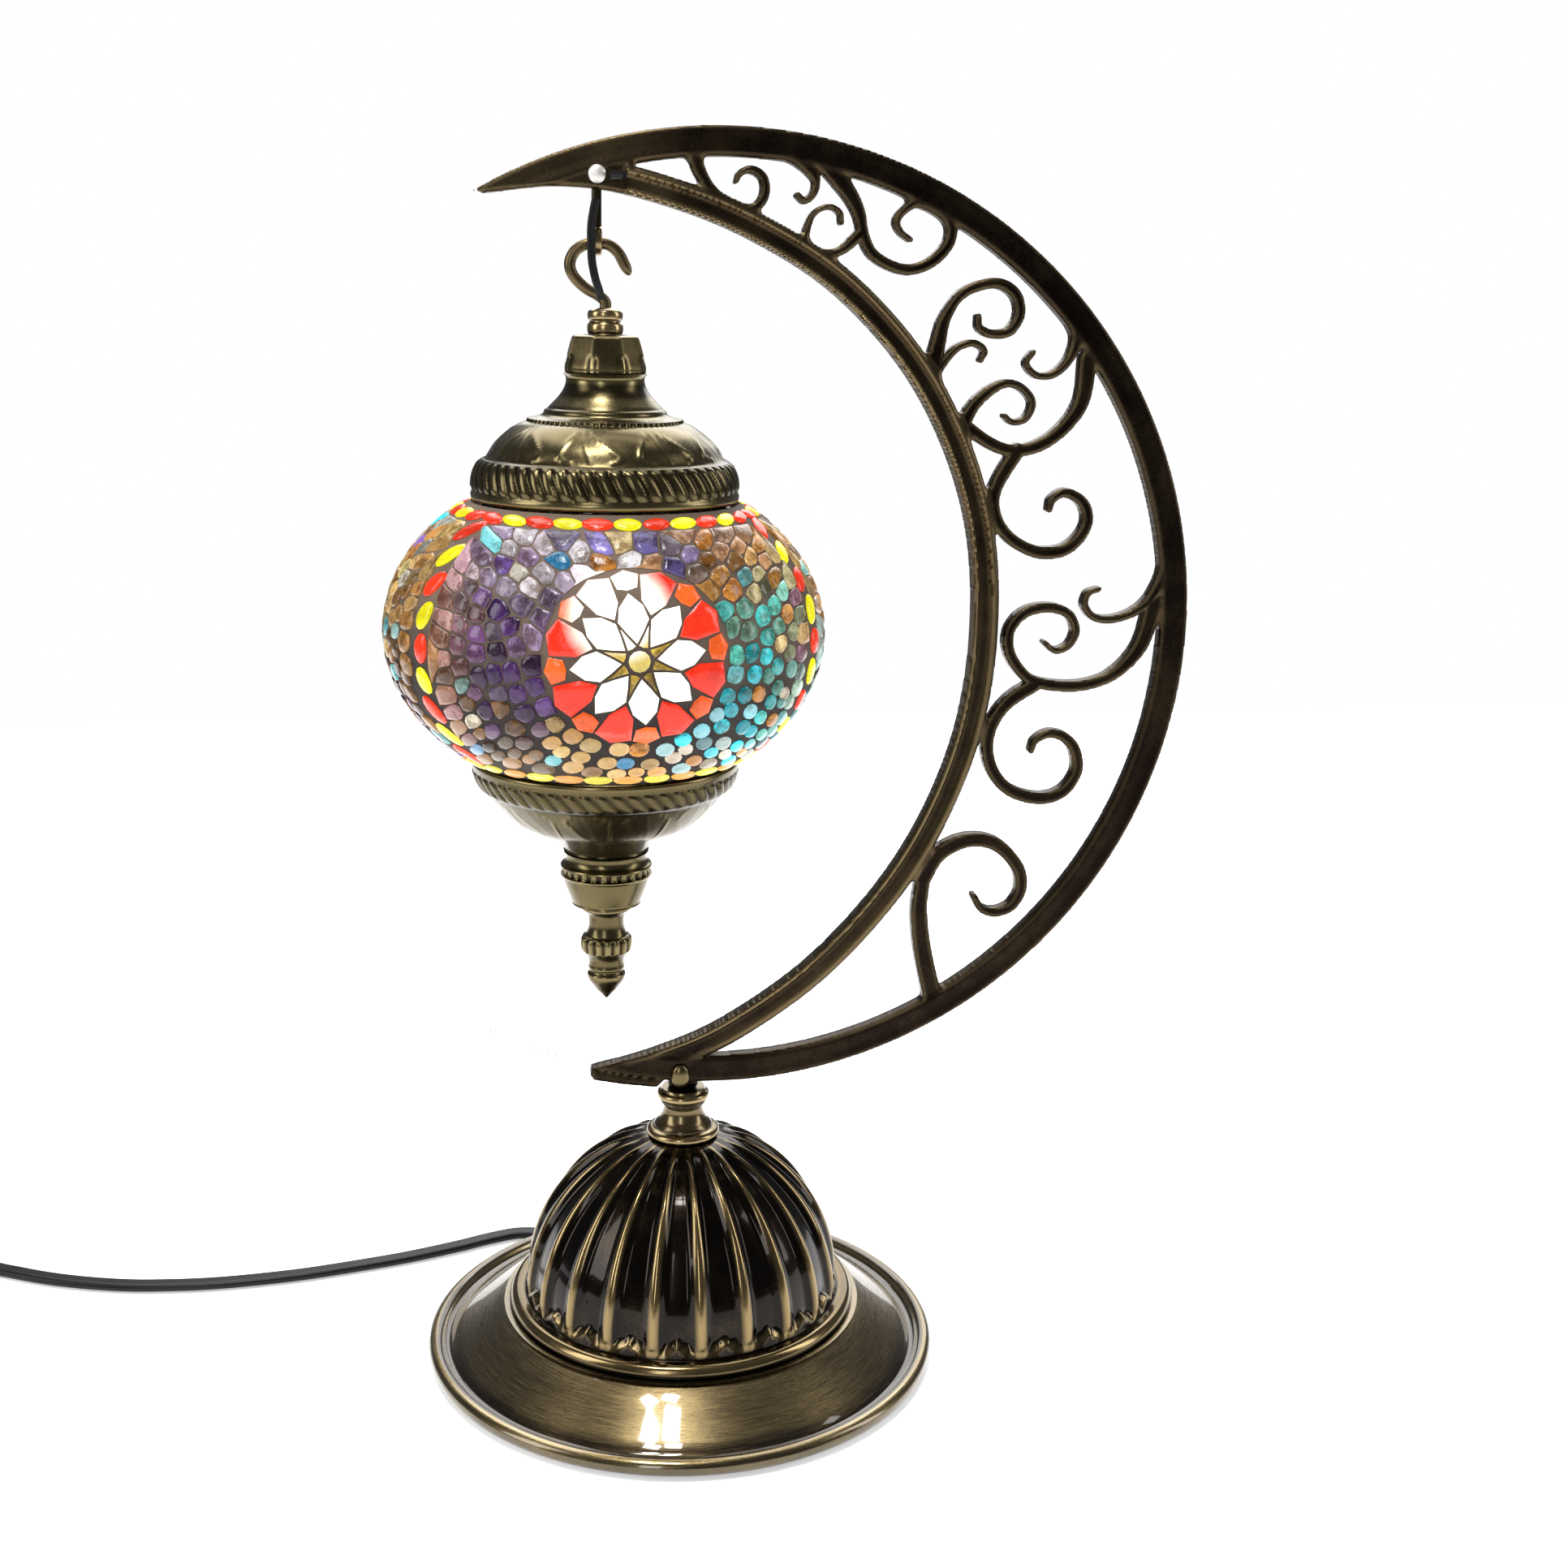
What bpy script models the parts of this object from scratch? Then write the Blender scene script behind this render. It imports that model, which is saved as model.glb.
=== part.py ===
"""Mosaic glass table lamp: a round brass foot, a cast crescent with scrollwork,
and a mosaic lantern that hangs by a hook from an eye under the crescent's tip.

The crescent lies in the XZ plane, its belly towards +X. The origin is the
middle of the felt pad's underside, +Z up. Sizes below are in millimetres.
"""
import math

import bmesh
import bpy
from mathutils import Matrix, Vector

MM = 0.001                      # one millimetre in metres
TOUCH = 0.3                     # gap between pieces that rest on each other

# foot
BASE_RADIUS = 75.0
RIM_RADIUS = 2.4                # rolled edge of the dish
FELT_THICK = 1.2
DISH_SHEET = 1.0
DECK_Z = 15.6                   # flat top of the dish, under the dome
DOME_RADIUS = 46.0
DOME_RISE = 48.4
DOME_SHEET = 1.0
FOOT_BEAD = 1.7                 # bead round the dome's foot
STEM_RADIUS = 4.0
STEM_BORE = 2.9
WEIGHT_RADIUS = 42.0
WEIGHT_THICK = 6.3
NUT_RADIUS = 7.0
NUT_THICK = 2.6
WASHER_RADIUS = 9.0

# neck
NECK_FLANGE = 10.5
NECK_WAIST = 5.8
NECK_BEAD = 7.5
NECK_HEIGHT = 14.6
SPIGOT_RADIUS = 3.2
SPIGOT_DEPTH = 8.0
SADDLE_DEPTH = 7.6
SADDLE_HEIGHT = 7.0

# crescent
RING_X = 10.4                   # middle of the outer circle
RING_Z = 215.7
RING_RADIUS = 132.3
BAND_WIDTH = 7.6
RAIL_WIDTH = 7.2
BAND_DEPTH = 6.0
RAIL_DEPTH = 7.0
SCROLL_DEPTH = 4.8
LEAD_RADIUS = 1.1
LEAD_GROOVE = 3.2
GROOVE_DEEP = 6.0
GROOVE_FLOOR = 0.9              # the groove's floor, behind the plate's middle
LEAD_HOLE = (-17.8, 334.8)      # where the lead passes through the plate

# hanger and hook
PIN_X = -24.5
PIN_Z = 335.0
PIN_RADIUS = 1.35
PIN_HEAD = 2.35
PIN_RUN = 0.08                  # running clearance round the pin
EYE_DROP = 16.5                 # from the pin down to the middle of the eye
EYE_RADIUS = 3.9
EYE_BORE = 2.3
HANGER_THICK = 2.6
ROD_RADIUS = 1.5
LEAD_Y = -5.6                   # the drop lead hangs in front of the plate

# lantern
LAMP_X = -22.3
COLLAR_RADIUS = 4.7
COUPLER_TOP = 294.6
CAP_TOP = 284.6
CAP_LIP_Z = 251.6
CAP_RADIUS = 35.8
CAP_SHEET = 1.0
CAP_SEAT = 8.0                  # depth of the flat under the cap's neck
GLOBE_Z = 216.0
GLOBE_RADIUS = 60.0
GLOBE_HALF = 45.0
GLOBE_SIDES = 24
COAT_THICK = 1.8
COAT_BED = 0.9                  # gap between the glass and its mosaic coat
GLASS_THICK = 2.0
GLOBE_MOUTH = 26.0
BOWL_LIP_Z = 181.0
BOWL_RADIUS = 37.0
CUP_TOP = 153.6
FINIAL_TOP = 138.2
FINIAL_TIP = 109.2
STUD_RADIUS = 2.6

# light
NIPPLE_RADIUS = 4.8
NIPPLE_BORE = 3.2
SOCKET_RADIUS = 11.5
SOCKET_TOP = 272.0
SOCKET_LENGTH = 26.0
SHELL_RADIUS = 7.6
SHELL_SHEET = 0.4
CONTACT_Z = SOCKET_TOP - 7.2    # top of the socket's centre contact
BULB_RADIUS = 11.0
BULB_LENGTH = 38.0

# cord and what is on it
CORD_RADIUS = 1.6
CORD_MOUTH = (-36.0, 66.5)      # where the cord leaves the dish
COIL_X = -262.0
COIL_Y = 33.0
COIL_MIDDLE = 31.7              # radius at the middle of the turns
COIL_WIDE = 12.4
COIL_LOW = 1.1
COIL_TOP = 12.6
SWITCH_AT = (-252.5, 88.0)
SWITCH_SIZE = (52.0, 23.0, 15.5)
ROCKER_TILT = 7.0               # degrees from level, each way
CORD_HEADING = 150.0            # degrees, the way the cord runs through the switch
PLUG_AT = (-226.0, -39.5)
PLUG_SIZE = (30.0, 20.0, 12.0)
PLUG_HEADING = 318.0
BLADE_SIZE = (17.0, 1.5, 6.3)
BLADE_SPACING = 12.7

BRASS = ((0.32, 0.22, 0.10), 0.32, 1.0)
DARK_BRONZE = ((0.09, 0.065, 0.035), 0.40, 1.0)
STEEL = ((0.62, 0.61, 0.58), 0.30, 1.0)
IRON = ((0.10, 0.10, 0.10), 0.60, 1.0)
BLACK_PLASTIC = ((0.02, 0.02, 0.02), 0.40, 0.0)
PHENOLIC = ((0.05, 0.04, 0.035), 0.45, 0.0)
FELT = ((0.03, 0.03, 0.03), 0.90, 0.0)
CLEAR_GLASS = ((0.95, 0.93, 0.88), 0.10, 0.0)
MOSAIC = ((0.75, 0.35, 0.20), 0.15, 0.0)
TUNGSTEN = ((0.85, 0.60, 0.30), 0.40, 1.0)


# ---------------------------------------------------------------- helpers
def material(name, finish):
    """A Principled material from a finish: colour, roughness, metallic."""
    found = bpy.data.materials.get(name)
    if found:
        return found
    colour, rough, metal = finish
    made = bpy.data.materials.new(name)
    made.use_nodes = True
    made.diffuse_color = (*colour, 1.0)
    shader = made.node_tree.nodes["Principled BSDF"]
    shader.inputs["Base Color"].default_value = (*colour, 1.0)
    shader.inputs["Roughness"].default_value = rough
    shader.inputs["Metallic"].default_value = metal
    return made


def add_object(name, data, finish=None, at=(0, 0, 0)):
    obj = bpy.data.objects.new(name, data)
    bpy.context.scene.collection.objects.link(obj)
    obj.location = Vector(at) * MM
    if finish:
        data.materials.append(material(name + "_finish", finish))
    return obj


def mesh_object(name, verts, faces, finish=None, at=(0, 0, 0), round_piece=True):
    """Make a mesh from millimetre points, its faces turned outwards."""
    mesh = bpy.data.meshes.new(name)
    mesh.from_pydata([Vector(v) * MM for v in verts], [], faces)
    work = bmesh.new()
    work.from_mesh(mesh)
    bmesh.ops.recalc_face_normals(work, faces=work.faces)
    if work.calc_volume(signed=True) < 0:
        bmesh.ops.reverse_faces(work, faces=work.faces)
    work.to_mesh(mesh)
    work.free()
    if round_piece:
        mesh.shade_smooth()
        mesh.set_sharp_from_angle(angle=math.radians(35))
    return add_object(name, mesh, finish, at)


def turned(name, profile, finish, at=(0, 0, 0), sides=28):
    """Turn a profile of (radius, z) round +Z. It runs from axis to axis, or it
    is a closed loop that stays clear of the axis."""
    solid = profile[0][0] == 0 and profile[-1][0] == 0
    verts = []
    rings = []
    for radius, z in profile:
        if radius == 0:
            rings.append([len(verts)] * sides)
            verts.append((0, 0, z))
            continue
        rings.append(list(range(len(verts), len(verts) + sides)))
        for side in range(sides):
            turn = 2 * math.pi * side / sides
            verts.append((radius * math.cos(turn), radius * math.sin(turn), z))
    pairs = list(zip(rings, rings[1:]))
    if not solid:
        pairs.append((rings[-1], rings[0]))
    faces = []
    for low, high in pairs:
        for side in range(sides):
            after = (side + 1) % sides
            corners = (low[side], low[after], high[after], high[side])
            faces.append(list(dict.fromkeys(corners)))
    return mesh_object(name, verts, faces, finish, at)


def over(radius, sides):
    """Corner radius of a polygon whose flats clear a round bar of this radius."""
    return radius / math.cos(math.pi / sides)


def smooth(knots, steps=2):
    """A curve through the knots (Catmull-Rom), with steps points per span."""
    rows = [Vector(k) for k in knots]
    rows = [2 * rows[0] - rows[1]] + rows + [2 * rows[-1] - rows[-2]]
    out = []
    for a, b, c, d in zip(rows, rows[1:], rows[2:], rows[3:]):
        for step in range(steps):
            t = step / steps
            out.append(0.5 * (2 * b + (c - a) * t + (2 * a - 5 * b + 4 * c - d) * t * t
                              + (3 * b - a - 3 * c + d) * t ** 3))
    out.append(rows[-2])
    return out


def arc(centre, radius, start, end, steps):
    """Points on a circle in the XZ plane, angles in degrees from +X."""
    turns = [math.radians(start + (end - start) * n / steps) for n in range(steps + 1)]
    return [Vector((centre[0] + radius * math.cos(t), centre[1] + radius * math.sin(t)))
            for t in turns]


def offset(path, distance):
    """The path moved sideways, to the right of its way."""
    moved = []
    for n, point in enumerate(path):
        along = path[min(n + 1, len(path) - 1)] - path[max(n - 1, 0)]
        side = Vector((along.y, -along.x)).normalized()
        moved.append(point + side * distance)
    return moved


def prism(name, outline, depth, finish=None, middle=0.0):
    """Extrude an outline of (x, z) points along Y, depth across its middle."""
    count = len(outline)
    front = [(p[0], middle - depth / 2, p[1]) for p in outline]
    back = [(p[0], middle + depth / 2, p[1]) for p in outline]
    faces = [list(range(count)), list(range(2 * count - 1, count - 1, -1))]
    for n in range(count):
        after = (n + 1) % count
        faces.append([n, n + count, after + count, after])
    return mesh_object(name, front + back, faces, finish, round_piece=False)


def ribbon(name, path, widths, depth, finish=None, middle=0.0):
    """A flat bar along a path in the XZ plane; its width changes evenly along
    the path between the numbers in widths."""
    last = len(path) - 1
    spans = len(widths) - 1
    halves = []
    for n in range(last + 1):
        share = n / last * spans
        low = min(int(share), spans - 1)
        halves.append((widths[low] + (widths[low + 1] - widths[low]) * (share - low)) / 2)
    left = [offset(path, -h)[n] for n, h in enumerate(halves)]
    right = [offset(path, h)[n] for n, h in enumerate(halves)]
    verts = []
    for a, b in zip(left, right):
        for y in (middle - depth / 2, middle + depth / 2):
            verts.append((a[0], y, a[1]))
            verts.append((b[0], y, b[1]))
    faces = [[0, 1, 3, 2], [4 * last + 2, 4 * last + 3, 4 * last + 1, 4 * last]]
    for n in range(last):
        k = 4 * n
        for a, b in ((0, 1), (1, 3), (3, 2), (2, 0)):
            faces.append([k + a, k + b, k + b + 4, k + a + 4])
    return mesh_object(name, verts, faces, finish, round_piece=False)


def rod(name, radius, start, end, finish=None, sides=16, bore=0.0):
    """A straight round bar, or a tube if it has a bore, between two points."""
    start = Vector(start)
    along = Vector(end) - start
    if bore:
        loop = [(bore, 0), (radius, 0), (radius, along.length), (bore, along.length)]
    else:
        loop = [(0, 0), (radius, 0), (radius, along.length), (0, along.length)]
    made = turned(name, loop, finish, sides=sides)
    turn = Vector((0, 0, 1)).rotation_difference(along).to_matrix().to_4x4()
    made.data.transform(Matrix.Translation(start * MM) @ turn)
    return made


def block(name, size, at, heading=0.0, finish=None, bevel=0.0):
    """A box, length along its heading in degrees from +X, centred at a point."""
    mesh = bpy.data.meshes.new(name)
    work = bmesh.new()
    bmesh.ops.create_cube(work, size=1.0)
    bmesh.ops.scale(work, vec=Vector(size) * MM, verts=work.verts)
    if bevel:
        bmesh.ops.bevel(work, geom=work.edges[:], offset=bevel * MM, segments=1,
                        profile=0.5, affect="EDGES")
    work.to_mesh(mesh)
    work.free()
    made = add_object(name, mesh, finish, at)
    made.rotation_euler.z = math.radians(heading)
    return made


def wire(name, points, radius, finish, resolution=2):
    """A round wire or cord along points, as a curve with a round bevel."""
    data = bpy.data.curves.new(name, "CURVE")
    data.dimensions = "3D"
    data.bevel_depth = radius * MM
    data.bevel_resolution = resolution
    data.use_fill_caps = True
    spline = data.splines.new("POLY")
    spline.points.add(len(points) - 1)
    for target, point in zip(spline.points, points):
        target.co = (*(Vector(point) * MM), 1.0)
    return add_object(name, data, finish)


def combine(target, tool, operation):
    """Cut the tool out of the target, or join it on, with a Boolean."""
    tool.hide_render = True
    tool.display_type = "WIRE"
    modifier = target.modifiers.new(tool.name, "BOOLEAN")
    modifier.operation = operation
    modifier.object = tool
    modifier.solver = "EXACT"


def cut(target, tool):
    combine(target, tool, "DIFFERENCE")


def fuse(target, tool):
    combine(target, tool, "UNION")


def hang_on(axis_name, place, pieces):
    """Parent pieces to an empty that stands on their joint's axis."""
    axis = add_object(axis_name, None, at=place)
    for piece in pieces:
        piece.parent = axis
        piece.matrix_parent_inverse = Matrix.Translation(-axis.location)


def level(points, z):
    """Lift (x, y) points to a height."""
    return [(p[0], p[1], z) for p in points]


# ---------------------------------------------------------------- foot
def make_foot():
    felt_top = FELT_THICK
    felt_r = BASE_RADIUS - 6
    felt = turned("felt_pad", [(0, 0), (felt_r, 0), (felt_r, felt_top), (0, felt_top)],
                  FELT, sides=32)

    rim_middle = BASE_RADIUS - RIM_RADIUS
    rim_z = 0.9 + RIM_RADIUS
    roll = [(rim_middle + RIM_RADIUS * math.cos(math.radians(a)),
             rim_z + RIM_RADIUS * math.sin(math.radians(a)))
            for a in (170, 125, 80, 35, -10, -55, -100)]
    bore = STEM_RADIUS + TOUCH
    foot_r = DOME_RADIUS + 4.5
    top = [(bore, DECK_Z), (foot_r, DECK_Z), (BASE_RADIUS - 9.0, 6.0), (BASE_RADIUS - 6.4, 4.4)]
    under = [(BASE_RADIUS - 5.4, felt_top + TOUCH), (BASE_RADIUS - 8.0, felt_top + TOUCH + 1.4),
             (foot_r - 0.4, DECK_Z - DISH_SHEET), (bore, DECK_Z - DISH_SHEET)]
    dish = turned("base_dish", top + roll + under, BRASS, sides=32)
    heading = math.radians(CORD_HEADING)
    mouth = Vector((*CORD_MOUTH, 0))
    way = Vector((math.cos(heading), math.sin(heading), 0))
    notch_at = mouth - way * 8.0 + Vector((0, 0, 2.2))
    notch = block("cord_notch", (27.0, 7.6, 8.2), notch_at, CORD_HEADING)
    cut(dish, notch)
    cut(felt, notch)

    stem_low = felt_top + TOUCH
    weight_low = stem_low + NUT_THICK + 2 * TOUCH
    weight_top = weight_low + WEIGHT_THICK
    turned("base_weight", [(bore, weight_low), (WEIGHT_RADIUS, weight_low),
                           (WEIGHT_RADIUS, weight_top), (bore, weight_top)],
           IRON, sides=28)

    # the dome: a half ellipse of sheet that stands on a bead
    foot_z = DECK_Z + TOUCH
    base_z = foot_z + 2 * FOOT_BEAD
    steps = 6
    crown_r = 8.0
    outer = []
    inner = []
    for n in range(steps + 1):
        turn = math.acos(crown_r / DOME_RADIUS) * n / steps
        outer.append((DOME_RADIUS * math.cos(turn), base_z + DOME_RISE * math.sin(turn)))
        inner.append(((DOME_RADIUS - DOME_SHEET) * math.cos(turn),
                      base_z + (DOME_RISE - DOME_SHEET) * math.sin(turn)))
    bead_r = DOME_RADIUS + FOOT_BEAD + 1.0
    bead = [(DOME_RADIUS - DOME_SHEET, foot_z), (bead_r, foot_z),
            (bead_r + FOOT_BEAD, foot_z + FOOT_BEAD), (bead_r, base_z)]
    crown_z = outer[-1][1]
    dome = bead + outer + [(bore, crown_z), (bore, crown_z - DOME_SHEET)] + inner[::-1]
    turned("base_dome", dome, BRASS, sides=26)

    # the stem: a threaded tube that clamps weight, dish, dome and neck together
    neck_low = crown_z + TOUCH
    rod("stem_tube", STEM_RADIUS, (0, 0, stem_low), (0, 0, neck_low + 5.0), STEEL,
        sides=16, bore=STEM_BORE)
    nut_at = stem_low + 0.1
    nut_top = nut_at + NUT_THICK
    nut_bore = over(bore, 6)
    turned("stem_nut", [(nut_bore, nut_at), (NUT_RADIUS, nut_at), (NUT_RADIUS, nut_top),
                        (nut_bore, nut_top)], STEEL, sides=6)
    washer_low = weight_top + TOUCH
    washer_top = washer_low + 1.0
    turned("stem_washer", [(bore, washer_low), (WASHER_RADIUS, washer_low),
                           (WASHER_RADIUS, washer_top), (bore, washer_top)],
           STEEL, sides=20)

    # the neck: flange, waist and bead, bored for the stem and the spigot
    spigot_hole = SPIGOT_RADIUS + TOUCH
    top_z = neck_low + NECK_HEIGHT
    neck = [(bore, neck_low), (NECK_FLANGE, neck_low), (NECK_FLANGE, neck_low + 1.4),
            (NECK_FLANGE - 1.4, neck_low + 2.6), (NECK_WAIST + 0.8, neck_low + 3.8),
            (NECK_WAIST, neck_low + 6.0), (NECK_WAIST + 0.3, neck_low + 8.6),
            (NECK_BEAD - 0.5, neck_low + 10.6), (NECK_BEAD, neck_low + 12.2),
            (NECK_BEAD - 0.6, neck_low + 13.8), (NECK_BEAD - 2.0, top_z), (spigot_hole, top_z),
            (spigot_hole, neck_low + 5.8), (bore, neck_low + 5.4)]
    turned("neck", neck, BRASS, sides=20)

    # strain relief: a tapered sleeve that comes out through the notch
    relief_start = mouth - way * 19.0 + Vector((0, 0, 2.7))
    relief_end = mouth + way * 3.0 + Vector((0, 0, CORD_RADIUS + 0.4))
    sleeve_long = 22.0
    sleeve = turned("strain_relief", [(0, 0), (2.4, 0), (2.4, 3.0), (2.1, 3.2),
                                      (1.9, sleeve_long), (0, sleeve_long)],
                    BLACK_PLASTIC, sides=12)
    along = relief_end - relief_start
    turn = Vector((0, 0, 1)).rotation_difference(along).to_matrix().to_4x4()
    sleeve.data.transform(Matrix.Translation(relief_start * MM) @ turn)
    return top_z


# ---------------------------------------------------------------- crescent
INNER_EDGE = [(-53.5, 329.6), (-34.0, 331.8), (-14.0, 329.6), (13.0, 320.9), (39.5, 305.5),
              (62.0, 281.0), (76.5, 249.0), (80.3, 215.0), (75.5, 181.5), (61.0, 149.0),
              (38.0, 121.0), (12.0, 102.0), (-9.0, 93.0), (-26.3, 88.5)]
TOP_TIP = (-55.6, 330.4)
BOTTOM_TIP = [(-27.2, 86.8), (-26.0, 85.2), (-17.5, 83.5), (-8.0, 82.2)]

# scrolls: centre line, then widths from root to tip
SCROLLS = {
    "strut_a": ([(0.5, 341.5), (2.2, 336.5), (5.5, 331.8), (10.5, 328.3), (15.2, 327.3),
                 (18.4, 329.3), (19.5, 332.5), (18.6, 335.7), (15.6, 337.3), (12.8, 336.3),
                 (11.8, 334.2)], (4.0, 2.2, 2.6, 2.2, 1.2)),
    "comma_b": ([(28.5, 341.0), (32.6, 336.0), (32.4, 332.0), (30.0, 329.9), (28.1, 331.2)],
                (5.0, 2.0, 1.8, 1.6)),
    "strut_c": ([(35.3, 339.5), (41.6, 332.3), (44.6, 327.0), (46.0, 321.5), (48.4, 317.0),
                 (53.4, 314.0), (59.0, 313.0), (64.8, 315.2), (69.1, 319.8), (69.6, 324.5),
                 (66.5, 328.4), (60.8, 330.3), (56.6, 328.1), (54.8, 325.2), (56.0, 322.6),
                 (58.7, 320.7)], (5.0, 3.0, 2.8, 3.0, 3.0, 2.0, 1.4)),
    "loop_d": ([(29.9, 315.5), (30.6, 322.0), (32.6, 326.8), (36.5, 328.5), (39.4, 327.2),
                (39.9, 324.6)], (2.4, 1.5, 1.4, 1.4)),
    "foot_d": ([(33.0, 315.2), (36.5, 316.4), (40.6, 317.8), (45.2, 322.0)], (3.0, 2.2, 3.0)),
    "curl_f1": ([(65.5, 283.0), (67.3, 293.5), (69.2, 301.0), (74.0, 307.4), (82.4, 310.0),
                 (88.0, 307.5), (89.7, 302.3), (87.2, 297.6), (82.4, 296.6), (78.7, 298.2),
                 (78.2, 301.2)], (5.0, 2.6, 3.0, 2.6, 1.6)),
    "curl_f2": ([(66.0, 284.5), (70.5, 290.8), (73.8, 293.4), (77.5, 294.1), (80.3, 292.2),
                 (79.4, 289.6)], (2.6, 2.0, 1.8, 1.4)),
    "curl_f3": ([(74.0, 269.0), (78.0, 277.5), (84.8, 283.0), (90.2, 283.0), (94.3, 279.0),
                 (93.0, 274.4), (89.2, 273.1), (86.8, 274.8)], (4.0, 2.2, 1.9, 1.4)),
    "strut_g": ([(74.5, 273.0), (83.0, 267.4), (90.0, 265.4), (97.8, 267.3), (104.4, 272.5),
                 (108.6, 279.5), (109.6, 290.5)], (3.4, 3.2, 3.6, 4.8)),
    "curl_f4": ([(105.6, 303.0), (106.4, 296.5), (104.3, 290.4), (100.2, 286.3), (95.4, 285.8),
                 (92.2, 288.9), (94.0, 292.0)], (5.0, 2.4, 1.8, 1.4)),
    "curl_h": ([(91.0, 265.5), (86.2, 257.5), (84.6, 252.0), (86.0, 246.3), (89.8, 241.5),
                (95.5, 238.2), (100.4, 237.2), (106.2, 238.3), (110.6, 242.4), (112.0, 247.2),
                (110.0, 251.7), (105.2, 254.0), (101.6, 252.2), (100.8, 249.4)],
               (4.0, 3.2, 3.4, 3.0, 1.8)),
    "curl_i": ([(135.4, 231.0), (131.6, 224.0), (127.0, 220.3), (121.0, 218.4), (115.6, 219.0),
                (112.7, 222.4), (113.5, 225.8), (116.6, 227.0)], (3.4, 2.2, 2.0, 1.4)),
    "curl_j": ([(132.8, 222.0), (130.4, 212.2), (126.3, 206.0), (120.5, 201.5), (113.5, 199.4),
                (106.0, 199.3), (98.4, 200.9), (93.6, 205.3), (91.0, 210.5), (91.4, 216.0),
                (95.4, 220.4), (102.0, 221.8), (108.0, 220.0), (110.4, 215.2), (108.6, 211.0),
                (104.8, 209.5), (101.5, 211.8)], (5.0, 3.0, 3.0, 3.0, 2.4, 1.4)),
    "curl_l": ([(99.0, 199.6), (92.3, 195.3), (87.8, 189.5), (86.2, 182.0), (88.3, 174.5),
                (93.6, 168.8), (102.0, 166.3), (109.0, 168.0), (113.1, 174.0), (112.3, 180.3),
                (109.0, 184.2), (104.3, 185.4), (100.3, 183.4), (99.2, 180.4)],
               (4.0, 3.4, 3.4, 3.0, 1.6)),
    "curl_m": ([(68.8, 143.0), (72.6, 149.6), (78.3, 153.2), (84.0, 154.3), (89.6, 153.0),
                (94.3, 149.3), (97.7, 144.3), (98.2, 138.7), (95.6, 134.0), (91.0, 132.2),
                (86.8, 133.4), (84.3, 137.2)], (5.0, 4.0, 3.6, 3.0, 1.8)),
    "strut_m": ([(70.0, 150.0), (68.4, 138.0), (68.3, 131.0), (69.8, 120.5), (73.2, 106.5)],
                (4.0, 4.8, 5.4)),
}


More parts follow.
